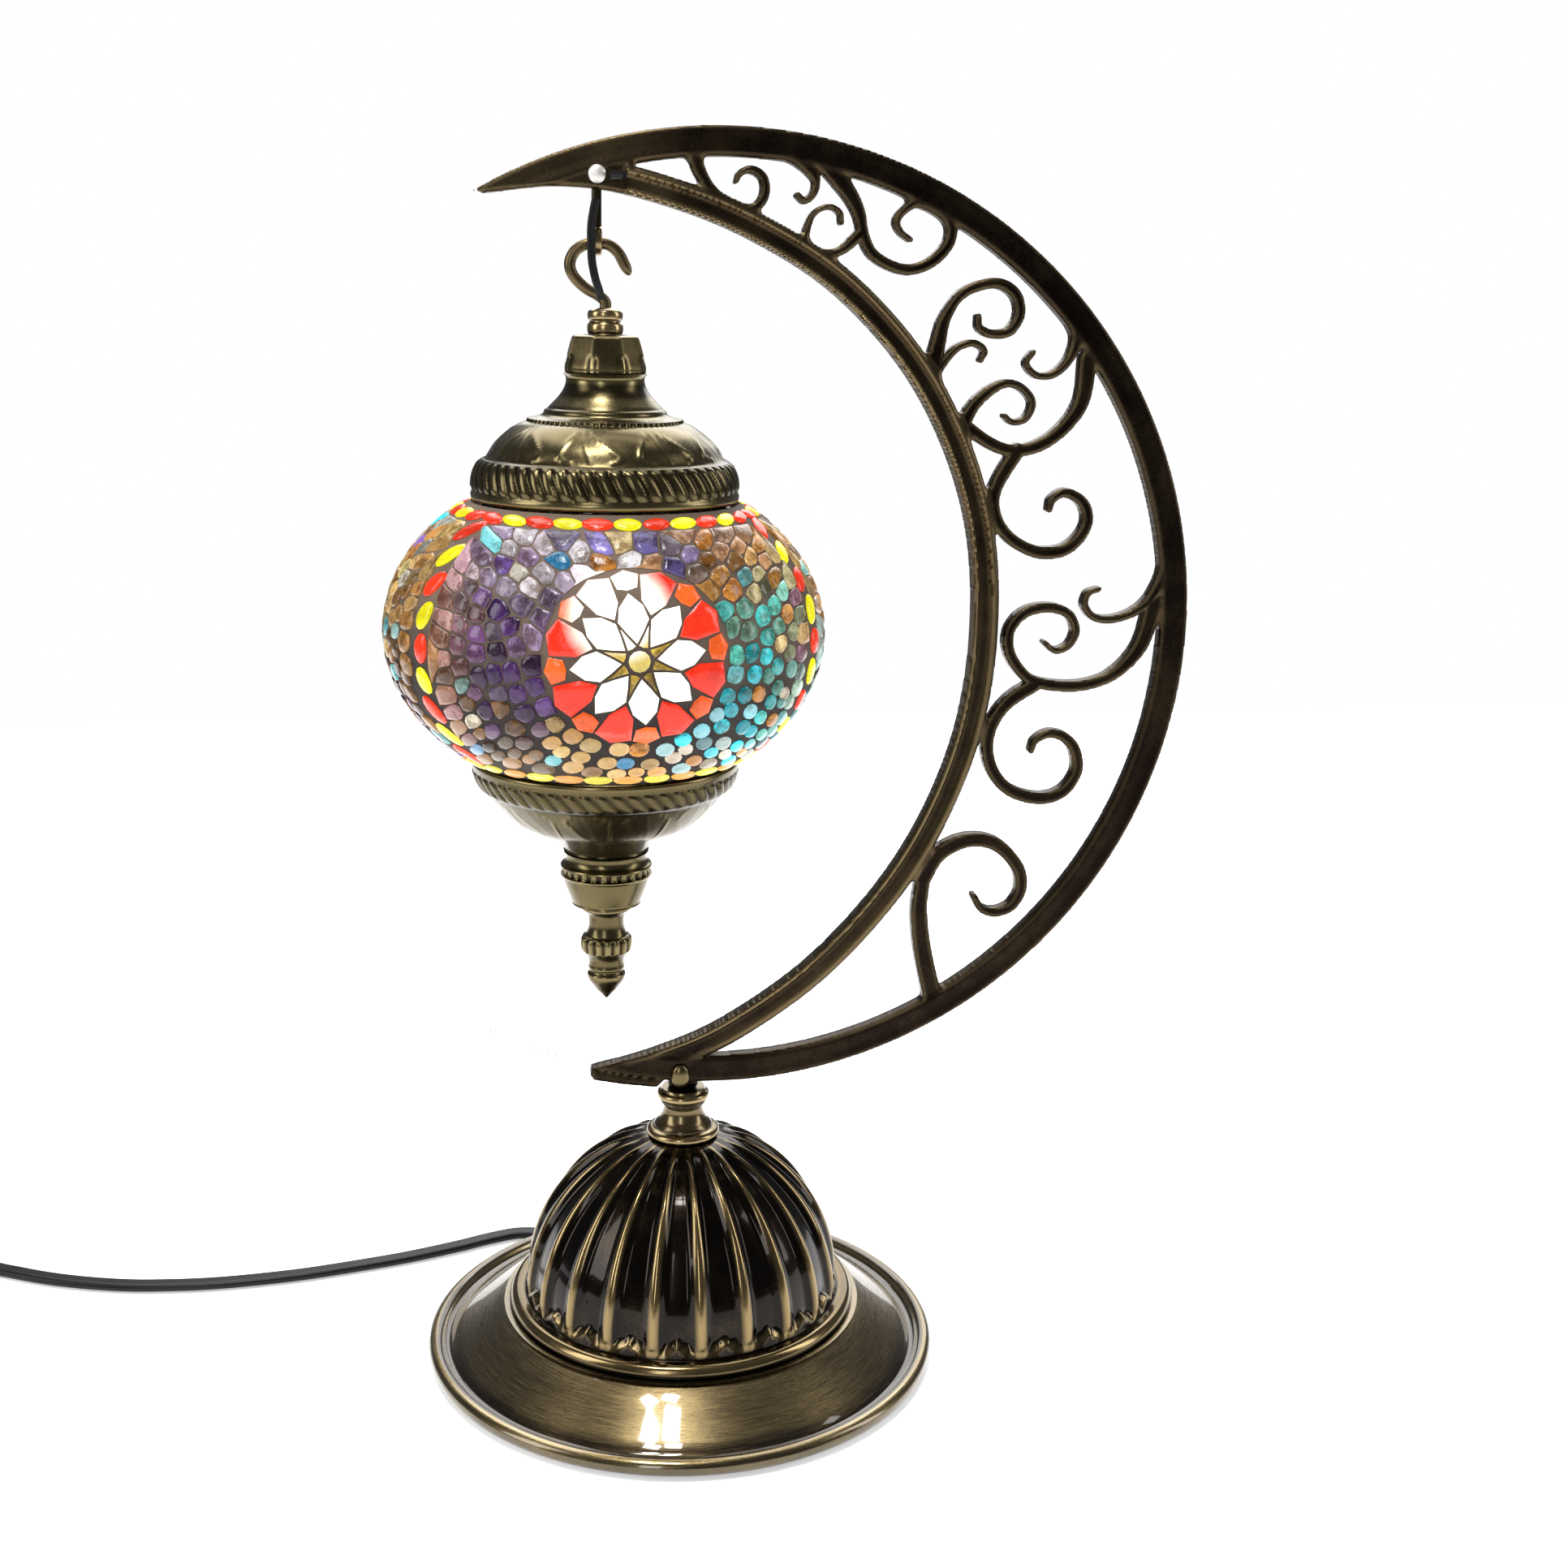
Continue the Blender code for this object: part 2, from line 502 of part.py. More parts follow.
def make_crescent(neck_top):
    """The casting: a crescent plate with a window, scrolls across the window, a
    lead groove behind the inner rail, and a spigot that stands in the neck."""
    inner = smooth(INNER_EDGE, 2)
    outer = arc((RING_X, RING_Z), RING_RADIUS, -97.0, 119.6, 44)
    outline = outer + [Vector(TOP_TIP)] + inner + [Vector(p) for p in BOTTOM_TIP]
    frame = prism("crescent_frame", outline, BAND_DEPTH, DARK_BRONZE)

    # window: between the outer band and the inner rail
    rail_edge = offset(smooth(INNER_EDGE[2:-2], 3), -RAIL_WIDTH)
    rail_edge = [p for p in rail_edge if -14.5 < p.x or p.y < 300]
    band_edge = arc((RING_X, RING_Z), RING_RADIUS - BAND_WIDTH, -92.5, 102.4, 40)
    window = prism("window", band_edge + rail_edge, 3 * BAND_DEPTH)
    cut(frame, window)

    rail = ribbon("rail", offset(smooth(INNER_EDGE[2:-1], 2), -RAIL_WIDTH / 2),
                  (4.0, RAIL_WIDTH - 0.1, RAIL_WIDTH - 0.1, RAIL_WIDTH - 0.1, 4.0), RAIL_DEPTH)
    fuse(frame, rail)
    for n, (name, (knots, widths)) in enumerate(SCROLLS.items()):
        # a hair's difference in depth keeps the flat faces apart where they cross
        fuse(frame, ribbon(name, smooth(knots, 1), widths, SCROLL_DEPTH + 0.04 * (n % 5)))

    spigot_low = neck_top - SPIGOT_DEPTH
    fuse(frame, rod("spigot", SPIGOT_RADIUS, (0, 0, spigot_low), (0, 0, neck_top + 6.0), sides=20))
    seat = neck_top + TOUCH
    saddle_top = seat + SADDLE_HEIGHT
    saddle = [(5.4, seat), (4.8, saddle_top), (-5.0, saddle_top), (-5.6, seat)]
    fuse(frame, prism("saddle", saddle, SADDLE_DEPTH))

    # groove for the lamp lead: up from the neck, then along the back of the rail
    mid_rail = offset(smooth(INNER_EDGE[2:-2], 3), -RAIL_WIDTH / 2)
    climb = smooth([(mid_rail[-1].x, mid_rail[-1].y), (4.6, 93.0), (1.2, 88.0), (0.0, 82.0),
                    (0.0, spigot_low - 1.0)], 3)
    lead_line = [Vector((-20.4, 335.6))] + mid_rail + climb[1:]
    groove = ribbon("lead_groove", lead_line, (LEAD_GROOVE, LEAD_GROOVE), GROOVE_DEEP,
                    middle=GROOVE_FLOOR + GROOVE_DEEP / 2)
    hole_x, hole_z = LEAD_HOLE
    cut(frame, rod("lead_hole", LEAD_GROOVE / 2 - 0.1, (hole_x, -6, hole_z), (hole_x, 2, hole_z),
                   sides=14))
    cut(frame, rod("small_hole", 0.8, (-18.9, -6, 331.4), (-18.9, 6, 331.4), sides=10))

    # slot for the hanger and hole for its pin
    slot_deep = HANGER_THICK + 0.2
    pocket = EYE_RADIUS - 0.2
    slot = arc((PIN_X, PIN_Z), pocket, 0, 180, 10)
    slot += [Vector((PIN_X - pocket, PIN_Z - 8)), Vector((PIN_X + pocket, PIN_Z - 8))]
    cut(frame, prism("hanger_slot", slot, slot_deep))
    cut(frame, rod("pin_hole", PIN_RADIUS + PIN_RUN, (PIN_X, -8, PIN_Z), (PIN_X, 8, PIN_Z),
                   sides=20))
    cut(frame, groove)

    # the lead itself
    lead_y = GROOVE_FLOOR + 0.25 + LEAD_RADIUS
    route = [Vector((p.x, lead_y, p.y)) for p in mid_rail + climb[1:]]
    front_y = -BAND_DEPTH / 2 - 0.6 - LEAD_RADIUS
    crossing = [(-21.2, front_y, hole_z), (-18.6, front_y + 0.1, hole_z),
                (hole_x, front_y + 1.1, hole_z), (hole_x, -1.0, hole_z),
                (hole_x + 0.2, 1.2, hole_z - 0.1), (hole_x + 1.4, lead_y, hole_z - 0.6)]
    lead = [Vector(p) for p in crossing] + route[1:]
    wire("inner_lead", lead, LEAD_RADIUS, BLACK_PLASTIC)

    # the domed screw that locks the spigot, on the front of the saddle
    screw = turned("neck_screw", [(0, 0), (2.6, 0), (2.2, 0.9), (1.2, 1.5), (0, 1.7)],
                   BRASS, sides=14)
    screw.data.transform(Matrix.Diagonal((1.0, 1.45, 1.0, 1.0)))
    screw.rotation_euler.x = math.radians(90)
    screw.location = Vector((-1.2, -SADDLE_DEPTH / 2 - TOUCH, seat + 3.9)) * MM


# ---------------------------------------------------------------- hanger and hook
EYE_Z = PIN_Z - EYE_DROP
ROD_Z = EYE_Z - EYE_BORE + ROD_RADIUS + 0.1     # the hook's rod lies in the eye, just clear of it

# the hook's middle line, its heights counted from the rod in the eye
HOOK_LINE = [(LAMP_X, -14.4), (-24.0, -13.2), (-27.6, -11.2), (-30.6, -8.2), (-31.5, -5.2),
             (-30.2, -2.2), (-27.6, -0.4), (PIN_X, 0.0), (-21.4, -0.3), (-18.9, -2.2),
             (-17.2, -5.2), (-15.8, -8.0)]


def make_hanger():
    half = HANGER_THICK / 2
    hanger = rod("hanger_eye", EYE_RADIUS, (PIN_X - half, 0, EYE_Z), (PIN_X + half, 0, EYE_Z),
                 BRASS, sides=24)
    shank = block("hanger_shank", (2.5, 2.4, EYE_DROP), (PIN_X, 0, PIN_Z - EYE_DROP / 2))
    fuse(hanger, shank)
    knuckle = EYE_RADIUS - 0.9
    fuse(hanger, rod("hanger_knuckle", knuckle, (PIN_X, -half, PIN_Z), (PIN_X, half, PIN_Z),
                     sides=20))
    cut(hanger, rod("eye_bore", EYE_BORE, (PIN_X - 6, 0, EYE_Z), (PIN_X + 6, 0, EYE_Z), sides=20))
    cut(hanger, rod("knuckle_bore", PIN_RADIUS + PIN_RUN, (PIN_X, -6, PIN_Z), (PIN_X, 6, PIN_Z),
                    sides=20))

    face = BAND_DEPTH / 2
    pin = turned("hang_pin", [(0, -face - 1.0), (PIN_RADIUS, -face - 1.0),
                              (PIN_RADIUS, face + TOUCH), (PIN_HEAD, face + TOUCH),
                              (PIN_HEAD, face + 1.0), (PIN_HEAD - 0.9, face + 1.7),
                              (0, face + 1.9)], STEEL, sides=20)
    pin.rotation_euler.x = math.radians(90)
    pin.location = Vector((PIN_X, 0, PIN_Z)) * MM
    nut = rod("pin_nut", PIN_HEAD, (PIN_X, face + TOUCH, PIN_Z), (PIN_X, face + 1.8, PIN_Z),
              STEEL, sides=6, bore=over(PIN_RADIUS + 0.2, 6))
    nut.data.shade_flat()

    upper = smooth([(PIN_X - 0.4, -3.4, 328.6), (-25.6, -4.6, 325.6), (-26.2, LEAD_Y, 321.8),
                    (-26.2, LEAD_Y, ROD_Z + 1.4)], 2)
    top_half = wire("drop_lead_upper", upper, LEAD_RADIUS, BLACK_PLASTIC)
    hang_on("hanger_axis", (PIN_X, 0, PIN_Z), [hanger, top_half])


def make_hook():
    line = [(x, 0, ROD_Z + z) for x, z in HOOK_LINE]
    hook = wire("hook", smooth(line, 2), ROD_RADIUS, BRASS)
    lower = smooth([(-26.2, LEAD_Y, ROD_Z - 1.4), (-26.0, LEAD_Y, 313.0),
                    (-25.2, LEAD_Y + 0.2, 309.0), (-24.2, LEAD_Y + 0.9, 306.0),
                    (-23.6, LEAD_Y + 1.9, 303.8)], 2)
    lead = wire("drop_lead_lower", lower, LEAD_RADIUS, BLACK_PLASTIC)

    r = COLLAR_RADIUS
    low = COUPLER_TOP + TOUCH
    collar = turned("hook_collar", [(0, low), (r - 0.6, low), (r, low + 1.2), (r, low + 2.4),
                                    (r - 0.5, low + 3.4), (r - 0.1, low + 4.4),
                                    (r - 0.1, low + 6.0), (r - 1.0, low + 7.0), (0, low + 7.0)],
                    BRASS, at=(LAMP_X, 0, 0), sides=20)
    return [hook, lead, collar]


# ---------------------------------------------------------------- lantern
def ellipse(radius, half, z_from, z_to, steps):
    """Points (r, z) on the globe's ellipse between two heights."""
    start = math.asin((z_from - GLOBE_Z) / half)
    end = math.asin((z_to - GLOBE_Z) / half)
    turns = [start + (end - start) * n / steps for n in range(steps + 1)]
    return [(radius * math.cos(t), GLOBE_Z + half * math.sin(t)) for t in turns]


def make_lantern():
    at = (LAMP_X, 0, 0)
    hole = NIPPLE_RADIUS + 0.3
    coupler_low = CAP_TOP + TOUCH
    bore = over(hole, 8)
    coupler = turned("cap_coupler", [(bore, coupler_low), (11.4, coupler_low),
                                     (11.6, coupler_low + 1.0), (10.6, coupler_low + 4.4),
                                     (9.7, coupler_low + 7.6), (9.0, COUPLER_TOP),
                                     (bore, COUPLER_TOP)], BRASS, at, sides=8)
    coupler.data.shade_flat()

    lip = CAP_RADIUS
    seat_z = CAP_TOP - CAP_SEAT
    cap_outer = [(11.0, CAP_TOP), (10.2, CAP_TOP - 2.0), (11.2, CAP_TOP - 4.8),
                 (14.6, CAP_TOP - 8.4), (16.2, CAP_TOP - 10.6), (21.6, CAP_TOP - 12.9),
                 (26.3, CAP_TOP - 15.6), (30.4, CAP_TOP - 20.0), (33.6, CAP_TOP - 23.8),
                 (lip - 0.3, CAP_TOP - 26.4), (lip, CAP_TOP - 29.4), (lip - 0.2, CAP_LIP_Z)]
    cap_inner = [(lip - 0.2 - CAP_SHEET, CAP_LIP_Z), (lip - CAP_SHEET, CAP_TOP - 29.4),
                 (32.3, CAP_TOP - 24.6), (29.2, CAP_TOP - 21.0), (25.5, CAP_TOP - 16.7),
                 (21.0, CAP_TOP - 14.0), (15.4, CAP_TOP - 11.8), (13.0, seat_z),
                 (hole, seat_z), (hole, CAP_TOP)]
    cap = turned("cap", cap_outer + cap_inner, BRASS, at, sides=24)

    nipple_top = COUPLER_TOP - 0.4
    nipple = rod("nipple", NIPPLE_RADIUS, (LAMP_X, 0, SOCKET_TOP - 3.6), (LAMP_X, 0, nipple_top),
                 STEEL, sides=14, bore=NIPPLE_BORE)
    nut_z = seat_z - TOUCH
    nut_low = nut_z - NUT_THICK
    bore = over(hole, 6)
    nut = turned("cap_nut", [(bore, nut_low), (8.5, nut_low), (8.5, nut_z), (bore, nut_z)],
                 STEEL, at, sides=6)

    # socket: a phenolic barrel with a screw shell and a centre contact inside
    low = SOCKET_TOP - SOCKET_LENGTH
    barrel_bore = SHELL_RADIUS + 0.8
    body = turned("socket_body", [(hole, SOCKET_TOP - 2.0), (SOCKET_RADIUS - 2, SOCKET_TOP - 2.0),
                                  (SOCKET_RADIUS, SOCKET_TOP - 4.0), (SOCKET_RADIUS, low),
                                  (barrel_bore, low), (barrel_bore, SOCKET_TOP - 6.0),
                                  (hole, SOCKET_TOP - 6.0)], PHENOLIC, at, sides=20)
    shell_bore = SHELL_RADIUS - SHELL_SHEET
    shell_top = SOCKET_TOP - 7.0
    shell = turned("socket_shell", [(shell_bore, low + 0.6), (SHELL_RADIUS, low + 0.6),
                                    (SHELL_RADIUS, shell_top), (shell_bore, shell_top)],
                   BRASS, at, sides=20)
    contact = turned("socket_contact", [(0, CONTACT_Z - 1.0), (2.6, CONTACT_Z - 1.0),
                                        (2.6, CONTACT_Z), (0, CONTACT_Z)], BRASS, at, sides=12)

    # globe: a glass bowl with a mouth inside the cap, and its mosaic coat
    gap = COAT_THICK + COAT_BED
    outer_r, outer_h = GLOBE_RADIUS - gap, GLOBE_HALF - gap
    inner_r, inner_h = outer_r - GLASS_THICK, outer_h - GLASS_THICK
    mouth_z = GLOBE_Z + outer_h * math.sqrt(1 - (GLOBE_MOUTH + GLASS_THICK) ** 2 / outer_r ** 2)
    inner_z = GLOBE_Z + inner_h * math.sqrt(1 - GLOBE_MOUTH ** 2 / inner_r ** 2)
    glass = [(0, GLOBE_Z - outer_h)] + ellipse(outer_r, outer_h, GLOBE_Z - outer_h + 0.6, mouth_z, 11)
    neck = [(GLOBE_MOUTH + GLASS_THICK, mouth_z + 5.0), (GLOBE_MOUTH, mouth_z + 5.0)]
    back = ellipse(inner_r, inner_h, inner_z, GLOBE_Z - inner_h + 0.6, 9)
    globe = turned("glass_globe", glass + neck + back + [(0, GLOBE_Z - inner_h)], CLEAR_GLASS,
                   at, sides=GLOBE_SIDES)
    coat_low = BOWL_LIP_Z + 0.5
    coat_top = CAP_LIP_Z - 0.4
    skin = ellipse(GLOBE_RADIUS, GLOBE_HALF, coat_low, coat_top, 9)
    skin += ellipse(GLOBE_RADIUS - COAT_THICK, GLOBE_HALF - COAT_THICK, coat_top, coat_low, 9)
    coat = turned("mosaic_coat", skin, MOSAIC, at, sides=GLOBE_SIDES)

    # three spring clips that hold the globe's mouth under the cap
    clips = []
    for n in range(3):
        turn = math.radians(30 + 120 * n)
        foot_r = hole + 2.6
        mouth_r = GLOBE_MOUTH - 1.1
        points = [(foot_r, SOCKET_TOP - 0.6), (17.0, 270.0), (22.3, 266.4), (mouth_r, 260.0),
                  (mouth_r - 0.2, 253.5)]
        line = [(LAMP_X + r * math.cos(turn), r * math.sin(turn), z) for r, z in smooth(points, 1)]
        clips.append(wire(f"globe_clip_{n + 1}", line, 0.6, STEEL, resolution=1))

    # lower bowl, openwork cup and finial
    bowl = [(BOWL_RADIUS - 0.4, BOWL_LIP_Z), (BOWL_RADIUS, 178.4), (36.2, 175.3), (33.5, 172.5),
            (28.9, 166.9), (24.5, 162.7), (18.6, 159.9), (14.1, 157.0), (11.6, CUP_TOP + TOUCH)]
    bowl_seat = CUP_TOP + 3.0
    bowl_inner = [(4.0, CUP_TOP + TOUCH), (4.0, bowl_seat), (8.0, bowl_seat), (12.0, 158.4),
                  (17.6, 161.4), (23.6, 164.2), (27.8, 168.2), (32.4, 173.8), (35.0, 176.2),
                  (BOWL_RADIUS - 1.4, BOWL_LIP_Z)]
    holder = turned("lower_bowl", bowl + bowl_inner, BRASS, at, sides=22)
    cup_low = FINIAL_TOP + TOUCH
    stud_hole = STUD_RADIUS + 0.4
    cup = turned("finial_cup", [(stud_hole, CUP_TOP), (11.5, CUP_TOP), (12.7, 148.2),
                                (12.2, 145.0), (10.9, 141.3), (9.4, cup_low),
                                (stud_hole, cup_low)], BRASS, at, sides=22)
    finial = turned("finial", [(0, FINIAL_TOP), (7.2, FINIAL_TOP - 1.0), (5.0, 134.4),
                               (4.9, 131.0), (6.9, 128.4), (7.3, 126.4), (6.5, 124.0),
                               (5.0, 121.2), (5.5, 116.8), (3.8, 113.6), (1.5, 110.8),
                               (0, FINIAL_TIP)], BRASS, at, sides=14)
    stud_top = CUP_TOP + 8.0
    stud_low = FINIAL_TOP + 2 * TOUCH
    stud = turned("finial_stud", [(0, stud_low), (STUD_RADIUS, stud_low),
                                  (STUD_RADIUS, stud_top), (0, stud_top)], STEEL, at, sides=12)
    bore = over(STUD_RADIUS + 0.2, 6)
    lock_low = bowl_seat + TOUCH
    lock_top = bowl_seat + NUT_THICK
    lock = turned("stud_nut", [(bore, lock_low), (6.5, lock_low), (6.5, lock_top),
                               (bore, lock_top)], STEEL, at, sides=6)
    return [coupler, cap, nipple, nut, body, shell, contact, globe, coat, *clips, holder, cup,
            finial, stud, lock]


def make_bulb():
    """The bulb: screw base, contact, glass envelope and filament."""
    at = (LAMP_X, 0, 0)
    top = CONTACT_Z - 1.0 - TOUCH
    base_r = SHELL_RADIUS - SHELL_SHEET - TOUCH
    tip_low = top - 1.2
    contact = turned("bulb_contact", [(0, tip_low), (2.2, tip_low), (2.2, top), (0, top)],
                     BRASS, at, sides=12)
    base_top = tip_low - TOUCH
    base_low = base_top - 16.0
    base = turned("bulb_base", [(0, base_low), (base_r, base_low), (base_r, base_top - 3.0),
                                (3.0, base_top), (0, base_top)], STEEL, at, sides=18)
    glass_top = base_low - TOUCH
    low = glass_top - BULB_LENGTH
    neck_r = base_r - 1.0
    wall = 0.7
    outside = [(neck_r, glass_top), (neck_r + 0.6, glass_top - 6), (BULB_RADIUS, low + 15.0),
               (BULB_RADIUS - 0.8, low + 8.0), (BULB_RADIUS - 4.0, low + 2.6), (0, low)]
    inside = [(0, low + wall), (BULB_RADIUS - 4.6, low + 3.4), (BULB_RADIUS - 1.6, low + 8.2),
              (BULB_RADIUS - wall, low + 15.0), (neck_r - 0.2, glass_top - 6), (neck_r - wall, glass_top)]
    glass = turned("bulb_glass", outside[::-1] + inside[::-1], CLEAR_GLASS, at, sides=20)
    post_low = low + 17.0
    filament = wire("filament", [(LAMP_X, 0, glass_top - 0.2), (LAMP_X, 0, post_low + 6),
                                 (LAMP_X - 4, 0, post_low + 2), (LAMP_X, 0, post_low),
                                 (LAMP_X + 4, 0, post_low + 2)], 0.5, TUNGSTEN, resolution=1)
    hang_on("bulb_axis", (LAMP_X, 0, top), [contact, base, glass, filament])


# ---------------------------------------------------------------- cord
CORD_TO_SWITCH = [(-39.5, 68.5), (-47.5, 69.6), (-56.5, 67.0), (-67.0, 62.6), (-83.0, 57.0),
                  (-100.0, 52.6), (-116.0, 49.2), (-132.0, 47.2), (-145.0, 46.5),
                  (-157.0, 47.0), (-168.0, 48.2), (-180.0, 51.0), (-192.0, 55.0),
                  (-203.0, 60.0), (-214.0, 66.0)]
CORD_TO_COIL = [(-284.0, 105.5), (-294.0, 107.0), (-304.0, 103.0), (-310.0, 94.0),
                (-311.0, 82.0), (-308.0, 68.0), (-304.0, 54.0), (-301.2, 41.6)]
CORD_TAIL = [(-280.3, -3.0, 1.8), (-271.5, -11.0, 1.8), (-262.0, -16.6, 1.9), (-252.5, -20.0, 3.0),
             (-245.0, -23.2, 4.8), (-237.7, -29.1, 6.2)]


def make_cord():
    low = CORD_RADIUS + 0.2
    heading = math.radians(CORD_HEADING)
    way = Vector((math.cos(heading), math.sin(heading), 0))
    centre = Vector((*SWITCH_AT, 0.3 + SWITCH_SIZE[2] / 2))
    entry_z = 5.0
    near = centre - way * (SWITCH_SIZE[0] / 2 + TOUCH)
    far = centre + way * (SWITCH_SIZE[0] / 2 + TOUCH)
    start = level(CORD_TO_SWITCH, low)
    for back, z in ((6.0, entry_z - 0.6), (0.0, entry_z)):
        start.append((*(near - way * back).xy, z))
    wire("power_cord", smooth(start, 3), CORD_RADIUS, BLACK_PLASTIC)
    middle = [(*far.xy, entry_z), (*(far + way * 5.0).xy, entry_z - 0.5)] + level(CORD_TO_COIL, low)
    wire("cord_middle", smooth(middle, 3), CORD_RADIUS, BLACK_PLASTIC)
    wire("cord_tail", smooth(CORD_TAIL, 3), CORD_RADIUS, BLACK_PLASTIC)

    half = COIL_WIDE / 2
    bevel = 2.2
    ring = [(COIL_MIDDLE - half, COIL_LOW + bevel), (COIL_MIDDLE - half + bevel, COIL_LOW),
            (COIL_MIDDLE + half - bevel, COIL_LOW), (COIL_MIDDLE + half, COIL_LOW + bevel),
            (COIL_MIDDLE + half, COIL_TOP - bevel), (COIL_MIDDLE + half - bevel, COIL_TOP),
            (COIL_MIDDLE - half + bevel, COIL_TOP), (COIL_MIDDLE - half, COIL_TOP - bevel)]
    turned("cord_coil", ring, BLACK_PLASTIC, (COIL_X, COIL_Y, 0), sides=26)

    # a strap round the bundle, as a short box with the bundle's section cut out
    tie_turn = math.radians(60)
    tie_at = (COIL_X + COIL_MIDDLE * math.cos(tie_turn), COIL_Y + COIL_MIDDLE * math.sin(tie_turn),
              (COIL_LOW + COIL_TOP) / 2)
    tall = COIL_TOP - COIL_LOW
    wide = COIL_WIDE + 0.8
    tie = block("coil_tie", (wide + 1.2, 6.0, tall + 1.8), tie_at, 60, BLACK_PLASTIC)
    cut(tie, block("tie_hole", (wide, 12.0, tall + 0.6), tie_at, 60))
    make_switch(centre)
    make_plug()


def make_switch(centre):
    """The in-line switch: two shells, two screws and a rocker on a cross axis."""
    long, wide, tall = SWITCH_SIZE
    base_tall = tall * 0.45
    low = centre.z - tall / 2
    base_at = (centre.x, centre.y, low + base_tall / 2)
    base = block("switch_base", (long, wide, base_tall), base_at, CORD_HEADING, BLACK_PLASTIC,
                 bevel=1.5)
    cover_low = low + base_tall + TOUCH
    cover_tall = tall - base_tall - TOUCH
    cover_at = (centre.x, centre.y, cover_low + cover_tall / 2)
    cover = block("switch_cover", (long, wide, cover_tall), cover_at, CORD_HEADING, BLACK_PLASTIC,
                  bevel=1.5)
    well = (20.0, 11.0)
    cut(cover, block("rocker_well", (well[0], well[1], 30.0), cover_at, CORD_HEADING))
    cut(base, block("rocker_pit", (well[0], well[1], 4.0), (centre.x, centre.y, low + base_tall),
                    CORD_HEADING))

    heading = math.radians(CORD_HEADING)
    way = Vector((math.cos(heading), math.sin(heading), 0))
    top = low + tall
    pivot = (centre.x, centre.y, top - 4.5)
    run = 0.8
    reach = well[0] / 2 - run
    outline = [(-reach, 5.2), (0, 3.9), (reach, 5.2), (reach - 0.6, 0.6),
               (3.0, -4.0), (-3.0, -4.0), (-reach + 0.6, 0.6)]
    tilt = math.radians(ROCKER_TILT)
    tipped = [(x * math.cos(tilt) - z * math.sin(tilt), x * math.sin(tilt) + z * math.cos(tilt))
              for x, z in outline]
    rocker = prism("switch_rocker", tipped, well[1] - 2 * run, BLACK_PLASTIC)
    rocker.location = Vector(pivot) * MM
    rocker.rotation_euler.z = heading

    for n, side in enumerate((-1, 1)):
        spot = centre + way * (side * (long / 2 - 7.5))
        seat = low + 1.6
        screw = (spot.x, spot.y)
        cut(base, rod(f"screw_seat_{n}", 2.4, (*screw, low - 2), (*screw, seat), sides=12))
        rod(f"switch_screw_{n + 1}", 2.0, (*screw, low + 0.1), (*screw, seat - TOUCH), STEEL, sides=12)


def make_plug():
    long, wide, tall = PLUG_SIZE
    heading = math.radians(PLUG_HEADING)
    way = Vector((math.cos(heading), math.sin(heading), 0))
    side = Vector((-way.y, way.x, 0))
    centre = Vector((*PLUG_AT, 0.2 + tall / 2))
    body = block("plug_body", PLUG_SIZE, centre, PLUG_HEADING, BLACK_PLASTIC, bevel=2.6)
    body.data.shade_flat()
    for n, hand in enumerate((-1, 1)):
        spot = centre + way * ((long + BLADE_SIZE[0]) / 2 + TOUCH) + side * (hand * BLADE_SPACING / 2)
        block(f"plug_blade_{n + 1}", BLADE_SIZE, spot, PLUG_HEADING, BRASS)


def build():
    for old in list(bpy.data.objects):
        bpy.data.objects.remove(old, do_unlink=True)
    neck_top = make_foot()
    make_crescent(neck_top)
    make_hanger()
    hang_on("lantern_axis", (PIN_X, 0, ROD_Z), make_hook() + make_lantern())
    make_bulb()
    make_cord()


build()
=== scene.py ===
# %% [markdown]
# # A crescent table lamp with a mosaic glass lantern
#
# The lamp is a domed brass foot, a cast crescent with scrollwork, and a glass
# lantern that hangs from the crescent's upper tip. The bodies and joints come
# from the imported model, so this script only gives the lamp its visible shapes
# and finishes. Every shape is worked out with numpy on a grid, in metres.

# %% The frame and the tools
import math

import bpy
import numpy as np
from mathutils import Matrix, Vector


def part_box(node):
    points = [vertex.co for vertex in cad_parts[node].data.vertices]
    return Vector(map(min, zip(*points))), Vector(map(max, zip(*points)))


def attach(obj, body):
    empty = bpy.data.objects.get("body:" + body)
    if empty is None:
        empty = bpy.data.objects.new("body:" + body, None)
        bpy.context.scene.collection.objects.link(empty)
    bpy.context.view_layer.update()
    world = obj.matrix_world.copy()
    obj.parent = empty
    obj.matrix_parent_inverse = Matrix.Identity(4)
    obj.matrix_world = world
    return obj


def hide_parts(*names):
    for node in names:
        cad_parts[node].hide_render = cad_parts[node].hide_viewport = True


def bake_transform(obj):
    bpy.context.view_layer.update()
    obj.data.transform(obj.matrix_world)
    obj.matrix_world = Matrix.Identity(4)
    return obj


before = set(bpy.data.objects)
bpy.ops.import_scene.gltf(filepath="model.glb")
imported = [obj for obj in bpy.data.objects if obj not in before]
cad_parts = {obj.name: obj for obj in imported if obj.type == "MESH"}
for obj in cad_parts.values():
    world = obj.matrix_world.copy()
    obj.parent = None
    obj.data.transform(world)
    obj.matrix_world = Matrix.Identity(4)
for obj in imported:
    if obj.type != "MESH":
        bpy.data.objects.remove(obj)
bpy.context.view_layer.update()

MM = 0.001
rng = np.random.default_rng(7)

# %% [markdown]
# ## Shader maths as Python
#
# A material is a graph of nodes. Wiring Math nodes by hand takes many lines, so
# one small class stands for a socket and turns + - * / into Math nodes. A
# Finish holds one material and adds any other node by its type, its settings
# and the values or links of its sockets.


